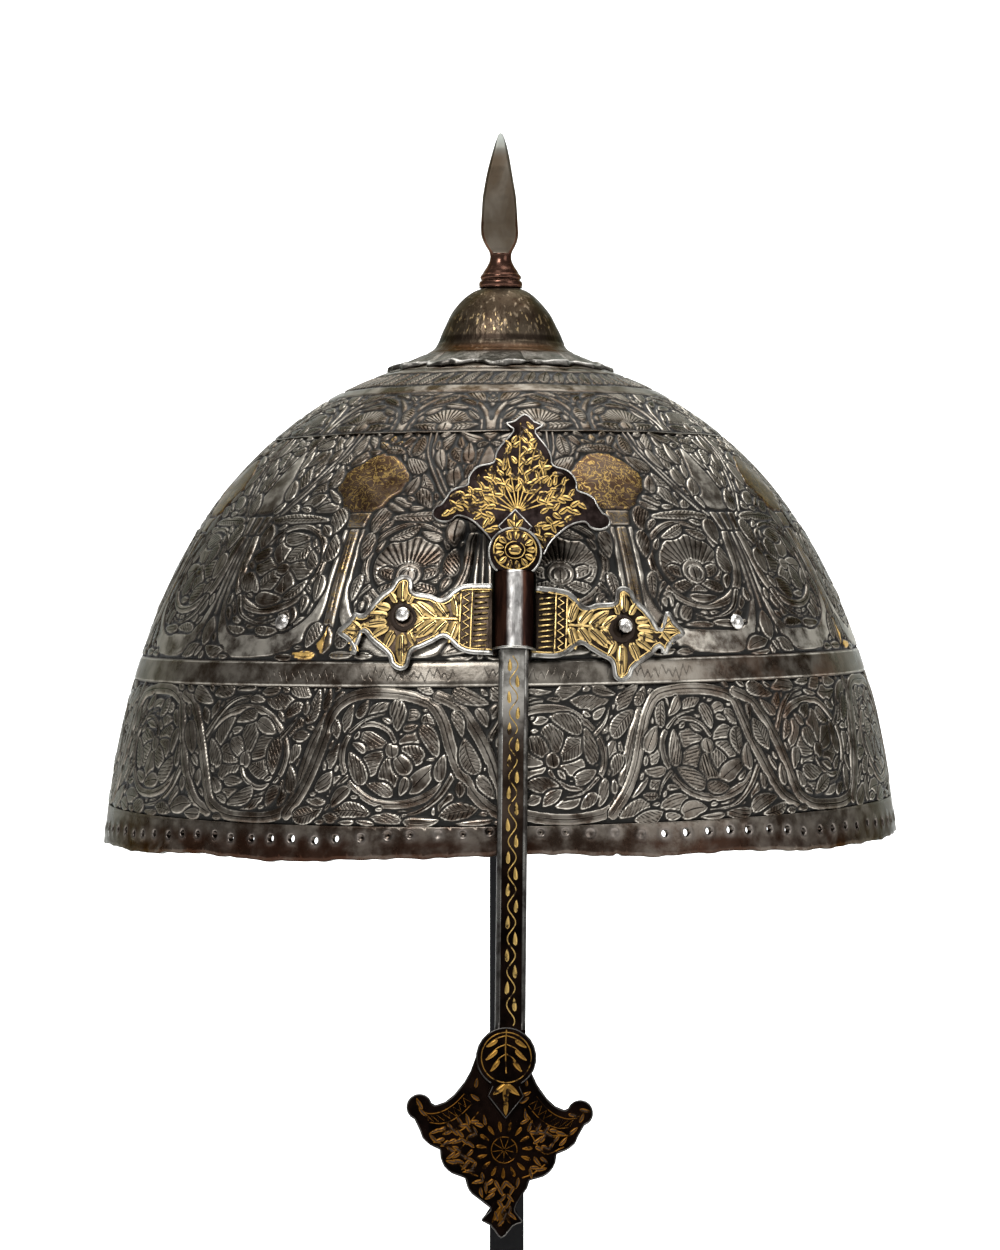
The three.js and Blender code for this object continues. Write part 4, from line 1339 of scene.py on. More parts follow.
def loop_section():
    """Half-round section of the guide loop, with its straight sides: places and outward directions."""
    a = np.radians(np.linspace(0, 180, 41))
    x = np.concatenate([[5.2, 5.2], 5.2 * np.cos(a), [-5.2, -5.2]])
    z = np.concatenate([[-4.6, -2.4], -0.4 + 5.2 * np.sin(a), [-2.4, -4.6]])
    nx = np.concatenate([[1, 1], np.cos(a), [-1, -1]])
    nz = np.concatenate([[0, 0], np.sin(a), [0, 0]])
    return x, z, nx, nz


def loop_place(u, v, h):
    """u counts along the section from 0 to 1."""
    x, z, nx, nz = loop_section()
    share = np.linspace(0, 1, len(x))
    out_x, out_z = np.interp(u, share, nx), np.interp(u, share, nz)
    px, pz = np.interp(u, share, x) + h * out_x, np.interp(u, share, z) + h * out_z
    return slide_place(*spun(px, v, LOOP_LEAN), pz)


# Inlay: narrow closed strips laid on a surface

LOW_CROWN = [(-1, -0.14), (-1, 0.03), (0, 0.065), (1, 0.03), (1, -0.14)]


def within(outline, x, y, margin):
    """Whether a place is inside an outline, by a margin."""
    p = np.asarray(outline, float)
    q = np.roll(p, -1, axis=0)
    dx, dy = q[:, 0] - p[:, 0], q[:, 1] - p[:, 1]
    t = np.clip(((x - p[:, 0]) * dx + (y - p[:, 1]) * dy) / (dx * dx + dy * dy + 1e-9), 0, 1)
    gap = np.hypot(x - p[:, 0] - t * dx, y - p[:, 1] - t * dy).min()
    crossed = ((p[:, 1] > y) != (q[:, 1] > y)) & (x < dx * (y - p[:, 1]) / (dy + 1e-12) + p[:, 0])
    return crossed.sum() % 2 == 1 and gap >= margin


class Strips:
    """Strips gathered into one mesh, each with its own tone."""

    def __init__(self, place, seed, raised=0.0):
        self.place = place
        self.raised = raised
        self.rng = np.random.default_rng(seed)
        self.places, self.quads, self.triangles, self.tones = [], [], [], []
        self.count = 0

    def sweep(self, path, halves, section=LOW_CROWN, raised=0.0):
        """A strip along a path, from its half-widths and its section."""
        path = np.asarray(path, float)
        halves = np.maximum(np.broadcast_to(halves, len(path)), 0.045)
        along = np.gradient(path, axis=0)
        along /= np.hypot(along[:, 0], along[:, 1])[:, None] + 1e-9
        u = path[:, :1] - along[:, 1:] * halves[:, None] * [[a for a, _ in section]]
        v = path[:, 1:] + along[:, :1] * halves[:, None] * [[a for a, _ in section]]
        h = np.broadcast_to([[b + raised + self.raised for _, b in section]], u.shape)
        self.places.append(self.place(u, v, h).reshape(-1, 3))
        sides, n = len(section), len(path)
        ids = self.count + np.arange(n * sides).reshape(n, sides)
        wrapped = np.hstack([ids, ids[:, :1]])
        self.quads.append(grid_faces(wrapped, inward=True)[:, ::-1])
        for ring, turned in ((ids[0], False), (ids[-1], True)):
            for k in range(1, sides - 1):
                corner = (ring[0], ring[k], ring[k + 1])
                self.triangles.append(corner[::-1] if turned else corner)
        self.tones.append(np.full(n * sides, self.rng.random()))
        self.count += n * sides

    def line(self, points, width, per_span=6):
        """A strip along a smooth curve, or along straight lines when per_span is 0."""
        path = curve(points, per_span) if per_span and len(points) > 2 else np.asarray(points, float)
        self.sweep(path, width / 2)

    def ring(self, x, y, radius, width, tall=1.0):
        a = np.linspace(0, 2 * math.pi, 41)
        self.line(np.stack([x + radius * np.sin(a), y + tall * radius * np.cos(a)], axis=-1), width, 0)

    def leaf(self, x, y, angle, length, width, form="leaf", bend=0.0):
        t = np.linspace(0.0, 1.0, 11)
        side = bend * length * 4 * t * (1 - t)
        a = math.radians(angle)
        path = np.stack([x + length * t * math.cos(a) - side * math.sin(a),
                         y + length * t * math.sin(a) + side * math.cos(a)], axis=-1)
        self.sweep(path, width / 2 * PROFILES[form](t))

    def mesh(self, name):
        quads = np.vstack(self.quads)
        return make_mesh(name, np.vstack(self.places), quads, self.triangles,
                         attributes={"tone": np.concatenate(self.tones)})


def veined(gold, dark, x, y, angle, length, width, form="leaf", bend=0.0, apart=0.72):
    """A gold leaf cut by dark lines that run along it."""
    gold.leaf(x, y, angle, length, width, form, bend)
    a = math.radians(angle)
    count = max(1, int(width / apart) - 1)
    t = np.linspace(0.1, 0.9, 17)
    half = 0.5 * width * PROFILES[form](t) - 0.22
    for across in (np.arange(count) - (count - 1) / 2) * apart:
        inside = t[half > abs(across) + 0.05]
        if len(inside) < 3:
            continue
        s = np.linspace(inside[0], inside[-1] - 0.05 * dark.rng.random(), 5)
        side = across * (0.45 + 0.55 * s) + bend * length * 4 * s * (1 - s)
        path = np.stack([x + length * s * math.cos(a) - side * math.sin(a),
                         y + length * s * math.sin(a) + side * math.cos(a)], axis=-1)
        dark.sweep(path, 0.15, raised=0.045)


def mirrored_wing(side):
    """Outline of one wing, run so that its outside is on the left."""
    found = [(side * u, v + (2.0 * side if u > 36.5 else 0)) for u, v in BRACKET_WING]
    return found if side > 0 else found[::-1]


def lay(strips, name, material):
    """Makes inlay of the nose guard from its strips."""
    dress(strips.mesh(name), material, "nose_guard")


def inset(points, by, per_span=4):
    """A line run alongside a path, on its right."""
    path = curve(points, per_span)
    along = np.gradient(path, axis=0)
    along /= np.hypot(along[:, 0], along[:, 1])[:, None] + 1e-9
    return path + np.stack([along[:, 1], -along[:, 0]], axis=-1) * by


# Sections of the bright edges: across from -1 to 1, and how high they stand
UPPER_TRIM = [(-1, -0.15), (-1, 0.02), (0.1, 0.05), (0.9, -0.1), (1, -1.2)]
LOWER_TRIM = [(-1, -0.15), (-1, 0.02), (0.1, 0.05), (1, -0.02), (1, -0.3)]
PLATE_EDGE = [(-1, -0.2), (-1, 0.02), (-0.6, 0.1), (0.35, 0.1), (0.85, -0.05), (1.0, -0.35), (1.0, -1.25)]
# Foot x and y, angle, length and width of the leaves on a wing
WING_LEAVES = [
    (13.4, -1.7, 74, 6.0, 2.7), (15.6, -2.0, 52, 5.8, 2.7), (18.2, -2.2, 40, 6.2, 2.7),
    (21.4, -2.4, 40, 4.6, 2.2), (13.4, -2.7, -74, 6.0, 2.7), (15.6, -2.8, -48, 5.4, 2.7),
    (18.0, -2.8, -42, 6.8, 2.8), (21.0, -3.0, -44, 5.6, 2.4), (26.6, 1.2, 90, 5.6, 2.4),
    (25.4, 0.8, 118, 3.2, 1.5), (28.0, 0.8, 56, 3.6, 1.7), (26.3, -6.2, -92, 8.0, 2.6),
    (24.7, -5.6, -118, 4.4, 1.8), (28.2, -5.8, -62, 5.6, 2.2), (29.4, -0.6, 8, 3.8, 1.9),
    (29.8, -2.2, -4, 5.8, 2.0), (30.0, -3.8, -14, 5.6, 2.0), (29.6, -5.0, -38, 5.2, 2.0),
]
TIP_LEAVES = [
    (36.0, -4.3, 0, 4.8, 2.0), (36.0, -4.2, 42, 3.6, 1.5), (36.0, -4.5, -46, 4.2, 1.6),
]


def bracket_inlay(gold_material, dark_material, bright_material, loop_material):
    gold, dark = Strips(wing_place, 5), Strips(wing_place, 6)
    edge = Strips(wing_place, 7)
    rng = np.random.default_rng(8)
    for side in (1, -1):
        outline = mirrored_wing(side)
        edge.sweep(inset(outline, 0.52), 0.58, PLATE_EDGE)
        gold.sweep(inset(outline, 1.34), 0.13, raised=0.03)
        for u, width in ((10.0, 0.42), (12.7, 0.46)):
            low, high = np.interp(u, (9, 13), (-9.5, -8.9)), np.interp(u, (9, 13), (5.5, 4.8))
            gold.line([(side * u, low), (side * (u + 0.06), -2), (side * u, high)], width)
        zigzag = []
        for k, v in enumerate(np.linspace(-8.6, 4.9, 15)):
            zigzag.append((side * (10.6 if k % 2 else 12.1) + rng.uniform(-0.12, 0.12), v))
        gold.line(zigzag, 0.36, 0)
        slope = 0.55 * side
        for v in np.linspace(-9.3, 4.9, 12):
            start = 5.9 + rng.uniform(0, 0.5)
            gold.line([(side * start, v + rng.uniform(-0.08, 0.08)), (side * 9.6, v + slope)], 0.36, 0)
        gold.line([(side * 13, -2.2), (side * 17, -2.3), (side * 23, -2.5)], 0.5)
        for leaves, lift in ((WING_LEAVES, 0.0), (TIP_LEAVES, 2.0 * side)):
            for x, y, angle, length, width in leaves:
                angle = angle + rng.uniform(-5, 5)
                angle = angle if side > 0 else 180 - angle
                length, width = length * rng.uniform(0.92, 1.04), width * rng.uniform(0.95, 1.12)
                bend = side * rng.uniform(-0.02, 0.06)
                veined(gold, dark, side * x, y + lift, angle, length, width, "leaf", bend)
        gold.line([(side * 35.4, -4.4), (side * 36.4, -4.2 + side), (side * 37, -4.1 + 1.6 * side)], 0.4)
        # A dark ring round the rivet head on each wing: painted shade at its foot.
        dark.ring(side * 26.1, -2.55, 2.75, 1.15)
    dress(gold.mesh("bracket_gold"), gold_material, "root")
    dress(dark.mesh("bracket_lines"), dark_material, "root")
    dress(edge.mesh("bracket_edge"), bright_material, "root")
    share, along = np.linspace(0, 1, 65), np.linspace(-9.42, 9.42, 41)
    u, v = np.meshgrid(share, along)
    outside, under = loop_place(u, v, 0.08), loop_place(u, v, -0.1)
    ids = np.arange(u.size).reshape(u.shape)
    below = ids + u.size
    skirts = []
    for a, b in ((ids[0], below[0]), (ids[-1][::-1], below[-1][::-1]),
                 (ids[:, 0][::-1], below[:, 0][::-1]), (ids[:, -1], below[:, -1])):
        skirts += [(a[k + 1], a[k], b[k], b[k + 1]) for k in range(len(a) - 1)]
    quads = np.vstack([grid_faces(ids, inward=True), grid_faces(below), np.array(skirts)[:, ::-1]])
    shares = np.concatenate([u.ravel(), u.ravel()])
    cover = make_mesh("bracket_loop", np.vstack([outside.reshape(-1, 3), under.reshape(-1, 3)]), quads,
                      flat_quads=len(skirts), attributes={"across": shares})
    dress(cover, loop_material, "root")
    rim = Strips(loop_place, 9, raised=0.06)
    rim.sweep([(s, -9.15) for s in np.linspace(0.12, 0.88, 49)], 0.28)
    dress(rim.mesh("bracket_loop_edge"), bright_material, "root")


def tree(gold, dark, outline, root, rows, clear, rng, worn=None, spokes=(), wide=1.5, room=1.46):
    """Leaves that fan out from one place, packed without touching."""
    for angle, far in spokes:
        a = math.radians(angle)
        path = [(root[0] + r * math.sin(a), root[1] + r * math.cos(a)) for r in np.linspace(1.0, far, 24)]
        path = [q for q in path if within(outline, *q, 1.2)]
        if len(path) > 3:
            gold.line(path, 0.34, 0)
    kept = []
    for k, r in enumerate(rows):
        count = max(3, int(2 * math.pi * r / (1.27 * room)))
        for j in range(count):
            a = 2 * math.pi * (j + 0.5 * (k % 2)) / count + rng.uniform(-0.05, 0.05)
            x, y = root[0] + r * math.sin(a), root[1] + r * math.cos(a)
            if not within(outline, x, y, 1.4) or clear(x, y):
                continue
            if kept and min(math.hypot(x - p, y - q) for p, q in kept) < room:
                continue
            if worn and worn(x, y) and rng.random() < 0.86:
                continue
            kept.append((x, y))
            angle = 90 - math.degrees(a) + (34 if (j + k) % 2 else -34) + rng.uniform(-12, 12)
            b = math.radians(angle)
            length = rng.uniform(2.2, 2.9)
            veined(gold, dark, x - 0.5 * length * math.cos(b), y - 0.5 * length * math.sin(b), angle, length,
                   wide * rng.uniform(0.9, 1.12), "leaf", rng.uniform(-0.06, 0.06), apart=0.55)


def nasal_inlay(gold_material, low_material, old_material, dark_material, bright_material):
    rng = np.random.default_rng(31)
    # Vine down the bar
    vine = Strips(bar_place, 11)
    span = 3.8
    path = [(0.95 * math.sin(math.pi * v / span), v) for v in np.arange(-11.0, -98.0, -0.475)]
    vine.line(path, 0.26, 0)
    for k in range(int(-98 / span), -3):
        v = (k + 0.5) * span
        side = -math.sin(math.pi * v / span)
        up = rng.uniform(-4, 4) + 90
        vine.leaf(0.95 * side, v - 1.5, up, 3.0, 1.05, "leaf")
    lay(vine, "nasal_vine", gold_material)
    edges = Strips(bar_place, 12)
    for side in (-1, 1):
        edges.sweep([(side * 3.02, v) for v in np.linspace(-98.8, 8.6, 60)][::-side], 0.56,
                    [(-1, -0.3), (-1, 0.0), (-0.3, -0.1), (0.6, -0.8), (0.93, -1.06), (0.8, -1.4)])
    lay(edges, "nasal_bar_edges", bright_material)
    # Upper roundel, its drop and palmette
    disc = Strips(upper_place(0, 0, BAR_FACE), 13)
    disc_dark = Strips(upper_place(0, 0, BAR_FACE), 14)
    disc.ring(0, 0.6, 5.1, 0.36, 0.96)
    for k in range(13):
        a = 2 * math.pi * k / 13 + 0.1
        x, y = 2.75 * math.sin(a), 0.6 + 2.6 * math.cos(a)
        if y < -3.0:
            continue
        veined(disc, disc_dark, x, y, 90 - math.degrees(a), 2.1, 1.75, "petal", apart=0.6)
    disc.ring(0, 0.6, 2.35, 0.22, 0.9)
    veined(disc, disc_dark, -1.5, 0.6, 0, 3.0, 2.5, "round", apart=0.6)
    for angle, length in ((90, 3.9), (128, 3.0), (52, 3.0)):
        veined(disc, disc_dark, 0, 5.9, angle, length, 1.7, "leaf", apart=0.6)
    lay(disc, "upper_roundel_gold", gold_material)
    lay(disc_dark, "upper_roundel_lines", dark_material)

    whole = PALMETTE_HALF + [(0, 40.9)] + [(-x, y) for x, y in PALMETTE_HALF[::-1]]
    squat = [(x, float(np.interp(y, SQUAT[:, 0], SQUAT[:, 1]))) for x, y in whole]
    place = upper_place(-2, 1.2, PLATE_FACE)
    leaves, lines = Strips(place, 15), Strips(place, 16)
    spoke_angles = (-84, -68, -52, -37, -24, -11, 0, 12, 25, 38, 52, 68)
    spokes = [(a, 16 + 9 * math.cos(math.radians(a))) for a in spoke_angles]
    tree(leaves, lines, squat, (-1.0, 10.4), np.arange(6.6, 30, 1.5),
         lambda x, y: abs(x + 1.0) < 5.2 - 0.35 * max(0.0, y - 4) and y < 11.4, rng,
         lambda x, y: x > 11.5 + 0.35 * (20 - y) and y < 26, spokes, 1.3)
    lay(leaves, "upper_palmette_gold", gold_material)
    lay(lines, "upper_palmette_lines", dark_material)
    edge = Strips(place, 17)
    edge.sweep(inset(squat[::-1], 0.24, 3), 0.24, UPPER_TRIM)
    raised_edge = Strips(upper_place(0, 0, BAR_FACE), 18)
    a = np.radians(np.linspace(-138, 138, 60))
    raised_edge.sweep(np.stack([6.22 * np.sin(a), 6.22 * np.cos(a)], axis=-1), 0.24)
    raised_edge.line([(-3.1, 5.4), (-4.0, 6.5), (0, 10.75), (4.0, 6.5), (3.1, 5.4)], 0.34, 0)
    lay(edge, "upper_palmette_edge", bright_material)
    lay(raised_edge, "upper_roundel_edge", bright_material)

    # Lower roundel, its drop and palmette
    disc = Strips(lower_place(0, 0, -0.9, BAR_FACE), 19)
    disc.ring(0, 0, 5.75, 0.24)
    disc.line([(0, -6.4), (0.2, -2), (0, 3.6)], 0.3)
    for y, reach, drop in ((-5.0, 4.6, 2.6), (-3.0, 4.7, 3.6), (-0.8, 3.6, 4.0)):
        for side in (-1, 1):
            foot = (0.1 * side, y)
            tip = (side * reach, y + drop)
            angle = math.degrees(math.atan2(tip[1] - foot[1], tip[0] - foot[0]))
            length = math.hypot(tip[0] - foot[0], tip[1] - foot[1])
            disc.line([foot, (side * 0.5 * reach, y + 0.3 * drop), tip], 0.24)
            sprout = (foot[0] + 0.42 * side * reach, foot[1] + 0.38 * drop)
            disc.leaf(*sprout, angle + 4 * side, 0.6 * length, 1.1)
    for angle, length in ((90, 4.8), (38, 3.8), (142, 3.8)):
        disc.leaf(0, 6.2, angle, length, 1.5)
    disc.leaf(0, 9.6, 90, 3.6, 1.2)
    lay(disc, "lower_roundel_gold", low_material)

    place = lower_place(-1.5, 1.9, 0, PLATE_FACE)
    leaves, lines = Strips(place, 20), Strips(place, 21)
    rose = (-1.3, 21.0)
    tipped = [(x + (-1.4 if y > 33 else 0), y) for x, y in whole]
    band_half = [(8.9, 8.6), (11.0, 10.9), (13.4, 12.6), (16.0, 13.4), (18.4, 13.2)]
    for side in (-1, 1):
        upper = [(side * (x - 0.6), y) for x, y in band_half]
        under = [(side * (x - 2.4), y + 2.2) for x, y in band_half]
        leaves.line(upper, 0.22)
        leaves.line(under, 0.22)
        rail_a, rail_b = curve(upper, 4), curve(under, 4)
        leaves.line([(rail_a if k % 2 else rail_b)[k] * 0.85 + (rail_b if k % 2 else rail_a)[k] * 0.15
                     for k in range(len(rail_a))], 0.2, 0)

    def clear(x, y):
        near_rose = math.hypot(x - rose[0], y - rose[1]) < 7.4
        band = abs(x) > 6 and y < 10.4 + 0.45 * min(abs(x), 14) and abs(x) < 17
        return near_rose or band or (abs(x) < 5.4 and y < 14.2)

    tree(leaves, lines, tipped, rose, np.arange(8.1, 25, 1.4), clear, rng, wide=0.95, room=1.32)
    for side in (-1, 1):
        for points in ([(5.5, 12.6), (9.5, 17.0), (15.8, 17.2)], [(6.6, 17.0), (10, 21.5), (14.4, 19.8)],
                       [(5.0, 27.2), (7.6, 26.0), (10.6, 23.6)]):
            leaves.line([(side * x - 0.6, y) for x, y in points], 0.3)
    for k in range(15):
        a = 2 * math.pi * k / 15
        foot = (rose[0] + 4.1 * math.sin(a), rose[1] + 4.1 * math.cos(a))
        leaves.leaf(*foot, 90 - math.degrees(a), 2.4, 1.05, "petal")
    trim = Strips(place, 22)
    trim.sweep(inset(tipped[::-1], 0.18, 3), 0.16, LOWER_TRIM)
    lay(trim, "lower_palmette_edge", bright_material)
    drop = Strips(lower_place(0, 0, -0.9, BAR_FACE), 23)
    drop.line([(-3.0, 6.6), (-4.0, 8.8), (0, 13.8), (4.0, 8.8), (3.0, 6.6)], 0.22, 0)
    a = np.radians(np.linspace(-150, 150, 60))
    drop.sweep(np.stack([6.75 * np.sin(a), -6.75 * np.cos(a)], axis=-1)[::-1], 0.12)
    lay(drop, "lower_roundel_edge", bright_material)
    leaves.ring(*rose, 2.95, 0.22)
    for k in range(9):
        a = 2 * math.pi * k / 9
        leaves.line([(rose[0] + 0.3 * math.sin(a), rose[1] + 0.3 * math.cos(a)),
                     (rose[0] + 2.8 * math.sin(a), rose[1] + 2.8 * math.cos(a))], 0.16, 0)
    for angle, length in ((90, 4.6), (62, 4.4), (118, 4.4)):
        leaves.leaf(-1.2, 33.6, angle, length, 1.2)
    lay(leaves, "lower_palmette_gold", old_material)
    lay(lines, "lower_palmette_lines", dark_material)


# Finial cap and spike: turned, then roughened by hand

def turned_piece(name, places, attributes=None):
    """A closed piece from rings of places, the first and last being poles."""
    rows, columns = places.shape[:2]
    ids = np.arange(rows * columns).reshape(rows, columns)
    ids = np.hstack([ids, ids[:, :1]])
    quads = grid_faces(ids)
    return make_mesh(name, places.reshape(-1, 3), quads, attributes=attributes)


CAP_BOSS = [(5.2, 146.5), (7.6, 145.5), (10.2, 143.4), (13.3, 139.5), (15.5, 135.2), (16.7, 132.2),
            (17.8, 130.3), (19.6, 129.1)]


def flange_reach(a):
    """Radius of the petals' torn edge."""
    petals = np.abs(np.cos(6 * a)) ** 0.7
    torn = 0.5 * np.sin(7 * a + 1) + 0.45 * np.sin(19 * a + 2) + 0.3 * np.sin(43 * a)
    return 26.9 + 3.0 * petals + torn


def cap(material):
    """A boss, a rippled flange of petals and a hollow underside."""
    a = np.radians(np.arange(0, 360, 0.75))
    boss_path = curve(CAP_BOSS, 12)
    boss_r, boss_z = boss_path[:, 0], boss_path[:, 1]
    shares = np.linspace(0, 1, 46)[1:]
    reach = flange_reach(a)
    flange_r = 19.6 + (reach[None, :] - 19.6) * shares[:, None]
    ripple = 0.34 * np.sin(12 * a + 1)[None, :] + 0.22 * np.sin(23 * a + 7 * shares[:, None])
    ripple = ripple + 0.16 * np.sin(41 * a + 3 + 11 * shares[:, None])
    lip = 0.3 * np.exp(-((shares[:, None] - 0.93) / 0.1) ** 2)
    crease = -0.55 * np.exp(-(np.abs(np.cos(6 * a)) / 0.16) ** 2)[None, :] * smooth(shares[:, None] * 2)
    out = 2.0 - 1.05 * smooth(shares[:, None] * 1.4) + 0.8 * ripple * shares[:, None] + lip + 0.6 * crease
    flange_z = height_at(flange_r) + out
    edge_r = np.stack([reach + 0.12, reach + 0.02])
    edge_z = height_at(edge_r) + np.array([[0.55], [0.1]])
    under_r = 16.0 + (reach[None, :] - 16.3) * np.linspace(1, 0, 6)[:, None]
    under_z = height_at(under_r) + 0.1
    inner = np.array([(15.2, 131.0), (13.0, 135.0), (10.0, 139.5), (5.0, 143.0), (0.05, 144.0)])
    around = np.ones((1, len(a)))
    boss_r, boss_z = boss_r[:, None] * around, boss_z[:, None] * around
    r = np.vstack([0.05 * around, boss_r, flange_r, edge_r, under_r, inner[:, :1] * around])
    z = np.vstack([146.6 * around, boss_z, flange_z, edge_z, under_z, inner[:, 1:] * around])
    dents = 0.12 * np.sin(3 * a[None, :] + z * 0.4) + 0.08 * np.sin(8 * a[None, :] - z * 0.7)
    r = r + dents * (r > 6) * (r < 17)
    places = np.stack([HELMET_X + r * np.sin(a), -r * np.cos(a), RIM_LEVEL + z], axis=-1) * MM
    petal = np.zeros(r.shape)
    first = 1 + len(boss_r)
    petal[first:first + len(shares)] = shares[:, None]
    petal[first + len(shares):] = 1.0
    edge = np.zeros(r.shape)
    edge[first:first + len(shares)] = np.exp(-((shares[:, None] - 0.95) / 0.06) ** 2)
    layers = {"petal": petal[::-1].ravel(), "lip": edge[::-1].ravel()}
    made = turned_piece("finial_cap_fine", places[::-1], layers)
    dress(made, material, "root")
    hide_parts("finial_cap")


SPIKE_PATH = [
    (0.05, 146.6), (5.35, 146.6), (5.75, 147.1), (5.85, 147.7), (5.7, 148.3), (5.25, 148.7), (5.2, 148.85),
    (5.45, 149.2), (5.5, 149.7), (5.2, 150.2), (4.95, 150.45), (4.5, 151.3), (3.75, 152.4), (3.1, 153.7),
    (2.85, 155.0), (3.1, 156.4), (3.9, 157.8), (4.7, 159.6), (5.12, 162.0), (5.05, 166.5), (4.6, 170.8),
    (4.0, 174.6), (3.3, 178.0), (2.55, 181.4), (1.85, 184.2), (1.2, 186.4), (0.7, 187.7), (0.05, 188.3),
]


# Height and half-depth, then height and half-width, of the blade's flats
BLADE_FRONT = [(155.6, 2.15), (157, 2.05), (160, 2.5), (164, 2.9), (171, 2.7), (179, 2.1), (184, 1.4),
               (188.5, 0.3)]
BLADE_SIDE = [(155, 5.2), (163, 5.0), (171, 4.5), (178.5, 3.2), (184, 2.0), (188.5, 0.4)]


def spike(material):
    """Turned rings, neck and bulb, cut to a four-sided blade."""
    path = curve(SPIKE_PATH, 7)
    r, z = np.maximum(path[:, 0], 0.04), path[:, 1]
    a = np.radians(np.arange(0, 360, 3.0))
    x = r[:, None] * np.sin(a)
    y = -r[:, None] * np.cos(a)
    high = z[:, None] + 0 * x
    front = np.interp(high, *zip(*BLADE_FRONT))
    front = np.where(high > 155.9, front, 99)
    side = np.interp(high, *zip(*BLADE_SIDE))
    side = np.where(high > 155.0, side, 99)
    on_flat = (y < -front).astype(float)
    y = np.clip(y, -front, front)
    x = np.clip(x, -side, side)
    x = x - 0.35 * smooth((high - 156) / 8) * smooth((187 - high) / 12)
    places = np.stack([HELMET_X + x, y, RIM_LEVEL + high], axis=-1) * MM
    made = turned_piece("spike_fine", places, {"flat": on_flat.ravel()})
    dress(made, material, "root")
    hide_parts("spike")


def cap_steel():
    p = Paint("cap_steel")
    _, y, z = p.axes()
    mottle = p.noise(150, 5, 0.65)
    cloud = p.noise(45, 4, 0.6, 0.5)
    streaks = p.noise(330, 3, 0.5, 0.2, (2.4, 2.4, 0.45))
    slanted = p.noise(1150, 1, 0.5, 0.2, (1.5, 1.0, 0.3))
    petal = p.attribute("petal")
    base = p.shade(cloud, 0.38, 0.62, (0.034, 0.024, 0.016), (0.062, 0.048, 0.034))
    base = p.shade(streaks, 0.56, 0.72, base, (0.145, 0.112, 0.078))
    base = p.mix(p.remap(streaks, 0.30, 0.42, 0.75, 0.0), base, (0.022, 0.013, 0.009))
    front = p.remap(y, -4 * MM, -13 * MM)
    low = p.times(p.remap(z, 283.2 * MM, 284.6 * MM), p.remap(z, 288.4 * MM, 289.8 * MM, 1, 0))
    gold = p.times(p.times(low, front), p.remap(slanted, 0.6, 0.66))
    base = p.mix(p.times(gold, 0.7), base, (0.40, 0.29, 0.15))
    foot = p.times(p.remap(z, 281.2 * MM, 282.2 * MM, 0, 1), p.remap(z, 282.9 * MM, 283.8 * MM, 1, 0))
    base = p.mix(p.times(foot, 0.8), base, (0.018, 0.012, 0.009))
    russet = p.times(front, p.remap(petal, 0.0, 0.42, 1, 0))
    russet = p.times(russet, p.times(p.remap(z, 281.6 * MM, 280.0 * MM), 0.7))
    grey = p.shade(mottle, 0.35, 0.65, (0.046, 0.041, 0.035), (0.108, 0.100, 0.089))
    colour = p.shade(petal, 0.04, 0.2, base, grey)
    colour = p.mix(russet, colour, (0.032, 0.015, 0.009))
    colour = p.mix(p.times(p.attribute("lip"), p.remap(mottle, 0.36, 0.62)), colour, (0.36, 0.345, 0.32))
    tilt = p.bump(streaks, 0.35, 0.0006, p.bump(mottle, 0.2, 0.0005))
    return p.finish(colour, 1.0, p.remap(mottle, 0.3, 0.7, 0.34, 0.5), tilt, Specular_Tint=DIM)


def spike_steel():
    p = Paint("spike_steel")
    _, _, z = p.axes()
    cloud = p.noise(90, 4, 0.6, 0.4, (1, 1, 0.4))
    fine = p.noise(700, 3, 0.6)
    blade = p.shade(cloud, 0.36, 0.64, (0.072, 0.054, 0.037), (0.118, 0.101, 0.080))
    blade = p.shade(z, 331 * MM, 337.5 * MM, blade, (0.19, 0.20, 0.185))
    neck = p.shade(cloud, 0.4, 0.6, (0.050, 0.024, 0.017), (0.085, 0.044, 0.031))
    is_blade = p.math("MAXIMUM", p.remap(p.attribute("flat"), 0.3, 0.6), p.remap(z, 313 * MM, 318 * MM))
    colour = p.mix(is_blade, neck, blade)
    roughness = p.math("ADD", p.remap(fine, 0.3, 0.7, 0.2, 0.28), p.times(is_blade, 0.2))
    return p.finish(colour, 1.0, roughness, p.bump(fine, 0.06, 0.0002), Specular_Tint=DIM)


def gold_leaf(name, shade, dark, worn=0.42):
    """Gold laid on hatched steel, rubbed through in places."""
    p = Paint(name)
    mottle = p.noise(420, 4, 0.6)
    tone = p.attribute("tone")
    lighter = tuple(min(1.0, 1.28 * c) for c in shade)
    colour = p.mix(tone, shade, lighter)
    colour = p.mix(p.remap(mottle, worn - 0.06, worn + 0.04, 1, 0), colour, dark)
    return p.finish(colour, 1.0, p.remap(mottle, 0.3, 0.7, 0.42, 0.3), p.bump(mottle, 0.25, 0.0002))


def dark_cut():
    p = Paint("dark_cut")
    grain = p.noise(500, 3)
    return p.finish(p.mix(grain, (0.012, 0.008, 0.006), (0.03, 0.02, 0.014)), 0.3, 0.6, None,
                    Specular_IOR_Level=0.1)


def bright_steel():
    p = Paint("worn_edge_steel")
    mottle = p.noise(190, 5, 0.65)
    _, _, z = p.axes()
    shine = p.remap(z, 120 * MM, 205 * MM, 0.16, 1.0)
    colour = p.shade(mottle, 0.36, 0.62, (0.055, 0.05, 0.045), (0.33, 0.32, 0.295))
    colour = p.mix(shine, (0.012, 0.010, 0.009), colour)
    return p.finish(colour, 1.0, p.remap(mottle, 0.3, 0.7, 0.4, 0.26), p.bump(mottle, 0.2, 0.0004))


